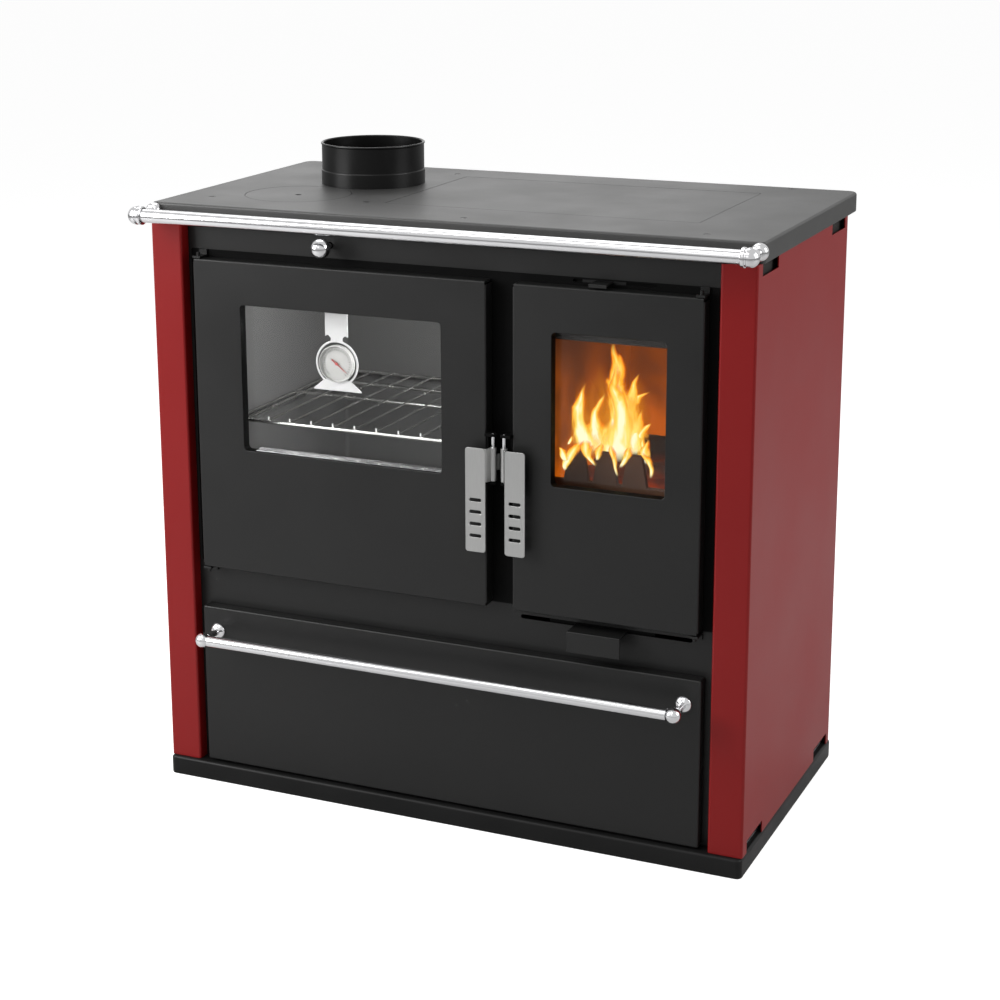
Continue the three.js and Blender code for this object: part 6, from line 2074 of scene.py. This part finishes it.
@dataclass
class Studio:
    """Floor, lamps, world and camera."""

    eye: Point = (1186.3, -2757.7, 1307.0)
    yaw: float = 0.429
    pitch: float = -0.247
    roll: float = -0.007
    focal: float = 2.16278
    shift: Flat = (0.0454, -0.0932)
    mirrored: float = 0.86

    def camera(self) -> None:
        """Sets the camera at the photograph's angle."""
        flat = Vector((-math.sin(self.yaw), math.cos(self.yaw), 0))
        right = Vector((math.cos(self.yaw), math.sin(self.yaw), 0))
        ahead = flat * math.cos(self.pitch) + Vector((0, 0, math.sin(self.pitch)))
        up = right.cross(ahead)
        turned_right = right * math.cos(self.roll) + up * math.sin(self.roll)
        turned_up = up * math.cos(self.roll) - right * math.sin(self.roll)
        data = bpy.data.cameras.new("photo_camera")
        data.sensor_width = 36.0
        data.lens = 36.0 * self.focal
        data.shift_x, data.shift_y = self.shift
        camera = bpy.data.objects.new("photo_camera", data)
        turn = Matrix((turned_right, turned_up, -ahead)).transposed().to_4x4()
        camera.matrix_world = Matrix.Translation(Vector(self.eye) * MM) @ turn
        bpy.context.scene.collection.objects.link(camera)
        bpy.context.scene.camera = camera

    def lamp(self, name: str, where: Point, size: Flat, power: float, aim: Point = (0, 0, 450)) -> None:
        """Adds a soft rectangular lamp that faces a point.

        Args:
            name: Name of the lamp.
            where: Its place in millimetres.
            size: Width and height in metres.
            power: Power in watts.
            aim: The point that it faces, in millimetres.
        """
        data = bpy.data.lights.new(name, "AREA")
        data.shape = "RECTANGLE"
        data.size, data.size_y = size
        data.energy = power
        light = bpy.data.objects.new(name, data)
        spot = Vector(where) * MM
        toward = Vector(aim) * MM - spot
        light.matrix_world = Matrix.Translation(spot) @ toward.to_track_quat("-Z", "Y").to_matrix().to_4x4()
        light.visible_camera = False
        bpy.context.scene.collection.objects.link(light)

    def white_rays(self, tree: NodeTree, others: float) -> Socket:
        """Strength that is 1 for camera and transmission rays and pale for glossy rays.

        Args:
            tree: Shader tree of the world or of a material.
            others: Strength for the other rays.

        Returns:
            The strength's socket.
        """
        path = tree.nodes.new("ShaderNodeLightPath")
        glossy = math_node(tree, "MULTIPLY", path.outputs["Is Glossy Ray"], self.mirrored)
        seen = math_node(tree, "ADD", path.outputs["Is Camera Ray"], glossy)
        seen = math_node(tree, "ADD", seen, path.outputs["Is Transmission Ray"], True)
        return math_node(tree, "MAXIMUM", seen, others)

    def floor(self) -> None:
        """Pale floor that keeps a soft shadow."""
        material = bpy.data.materials.new("studio floor")
        material.use_nodes = True
        tree = material.node_tree
        shader = tree.nodes["Principled BSDF"]
        shader.inputs["Base Color"].default_value = (0.55, 0.55, 0.55, 1)
        shader.inputs["Roughness"].default_value = 1.0
        shader.inputs["Specular IOR Level"].default_value = 0.0
        shader.inputs["Emission Color"].default_value = (1, 1, 1, 1)
        path = tree.nodes.new("ShaderNodeLightPath")
        glossy = math_node(tree, "MULTIPLY", path.outputs["Is Glossy Ray"], 0.15)
        seen = math_node(tree, "ADD", path.outputs["Is Camera Ray"], glossy)
        seen = math_node(tree, "ADD", seen, path.outputs["Is Transmission Ray"], True)
        glow = math_node(tree, "MULTIPLY", seen, 0.80)
        tree.links.new(glow, shader.inputs["Emission Strength"])
        reach = 30000.0
        floor = new_piece(
            "studio_floor",
            [(-reach, -reach, -0.2), (reach, -reach, -0.2), (reach, reach, -0.2), (-reach, reach, -0.2)],
            [[0, 1, 2, 3]],
        )
        floor.data.materials.append(material)

    def world(self) -> None:
        """White surroundings for the camera, glass and metal; a plain level for the rest."""
        world = bpy.data.worlds.new("studio")
        bpy.context.scene.world = world
        world.use_nodes = True
        tree = world.node_tree
        background = tree.nodes["Background"]
        background.inputs["Color"].default_value = (1, 1, 1, 1)
        tree.links.new(self.white_rays(tree, 0.32), background.inputs["Strength"])

    def build(self) -> None:
        """Builds the studio."""
        bpy.context.scene.view_settings.view_transform = "Standard"
        self.floor()
        self.world()
        self.lamp("key", (-1750, -1450, 1500), (1.3, 1.5), 64)
        self.lamp("front", (-200, -3300, 2300), (1.6, 1.2), 5)
        self.lamp("edge", (-350, -1500, 2700), (1.6, 0.7), 12)
        self.lamp("right", (2900, 300, 1900), (1.6, 1.6), 54)
        self.lamp("overhead", (-900, 900, 3000), (1.8, 1.8), 28)
        self.lamp("rim", (-1900, 3000, 1450), (2.6, 1.0), 6, (-100, 0, 850))
        self.lamp("oven_glow", (30, -150, 690), (0.05, 0.12), 2.3, (-343, -110, 540))


def main() -> None:
    """Builds every part of the stove and the studio in order."""
    logging.basicConfig(level=logging.INFO, format="%(name)s %(message)s")
    Studio().camera()
    Cabinet().build()
    Hob().build()
    TowelRail().build()
    Knobs().build()
    oven_window = Bounds(-297.4, 6.8, 509.5, 716.5)
    fire_window = Bounds(165, 322, 509.5, 716.5)
    Door("oven", "oven_door", "oven_latch", Bounds(-370.5, 72.5, 330, 777), oven_window, -1).build()
    Door("fire", "fire_door", "fire_latch", Bounds(110, 371, 330, 777), fire_window, 1).build()
    Sill(oven_window).build()
    Thermometer().build()
    Oven().build()
    Firebox().build()
    Drawer().build()
    Studio().build()


if __name__ == "__main__":
    main()
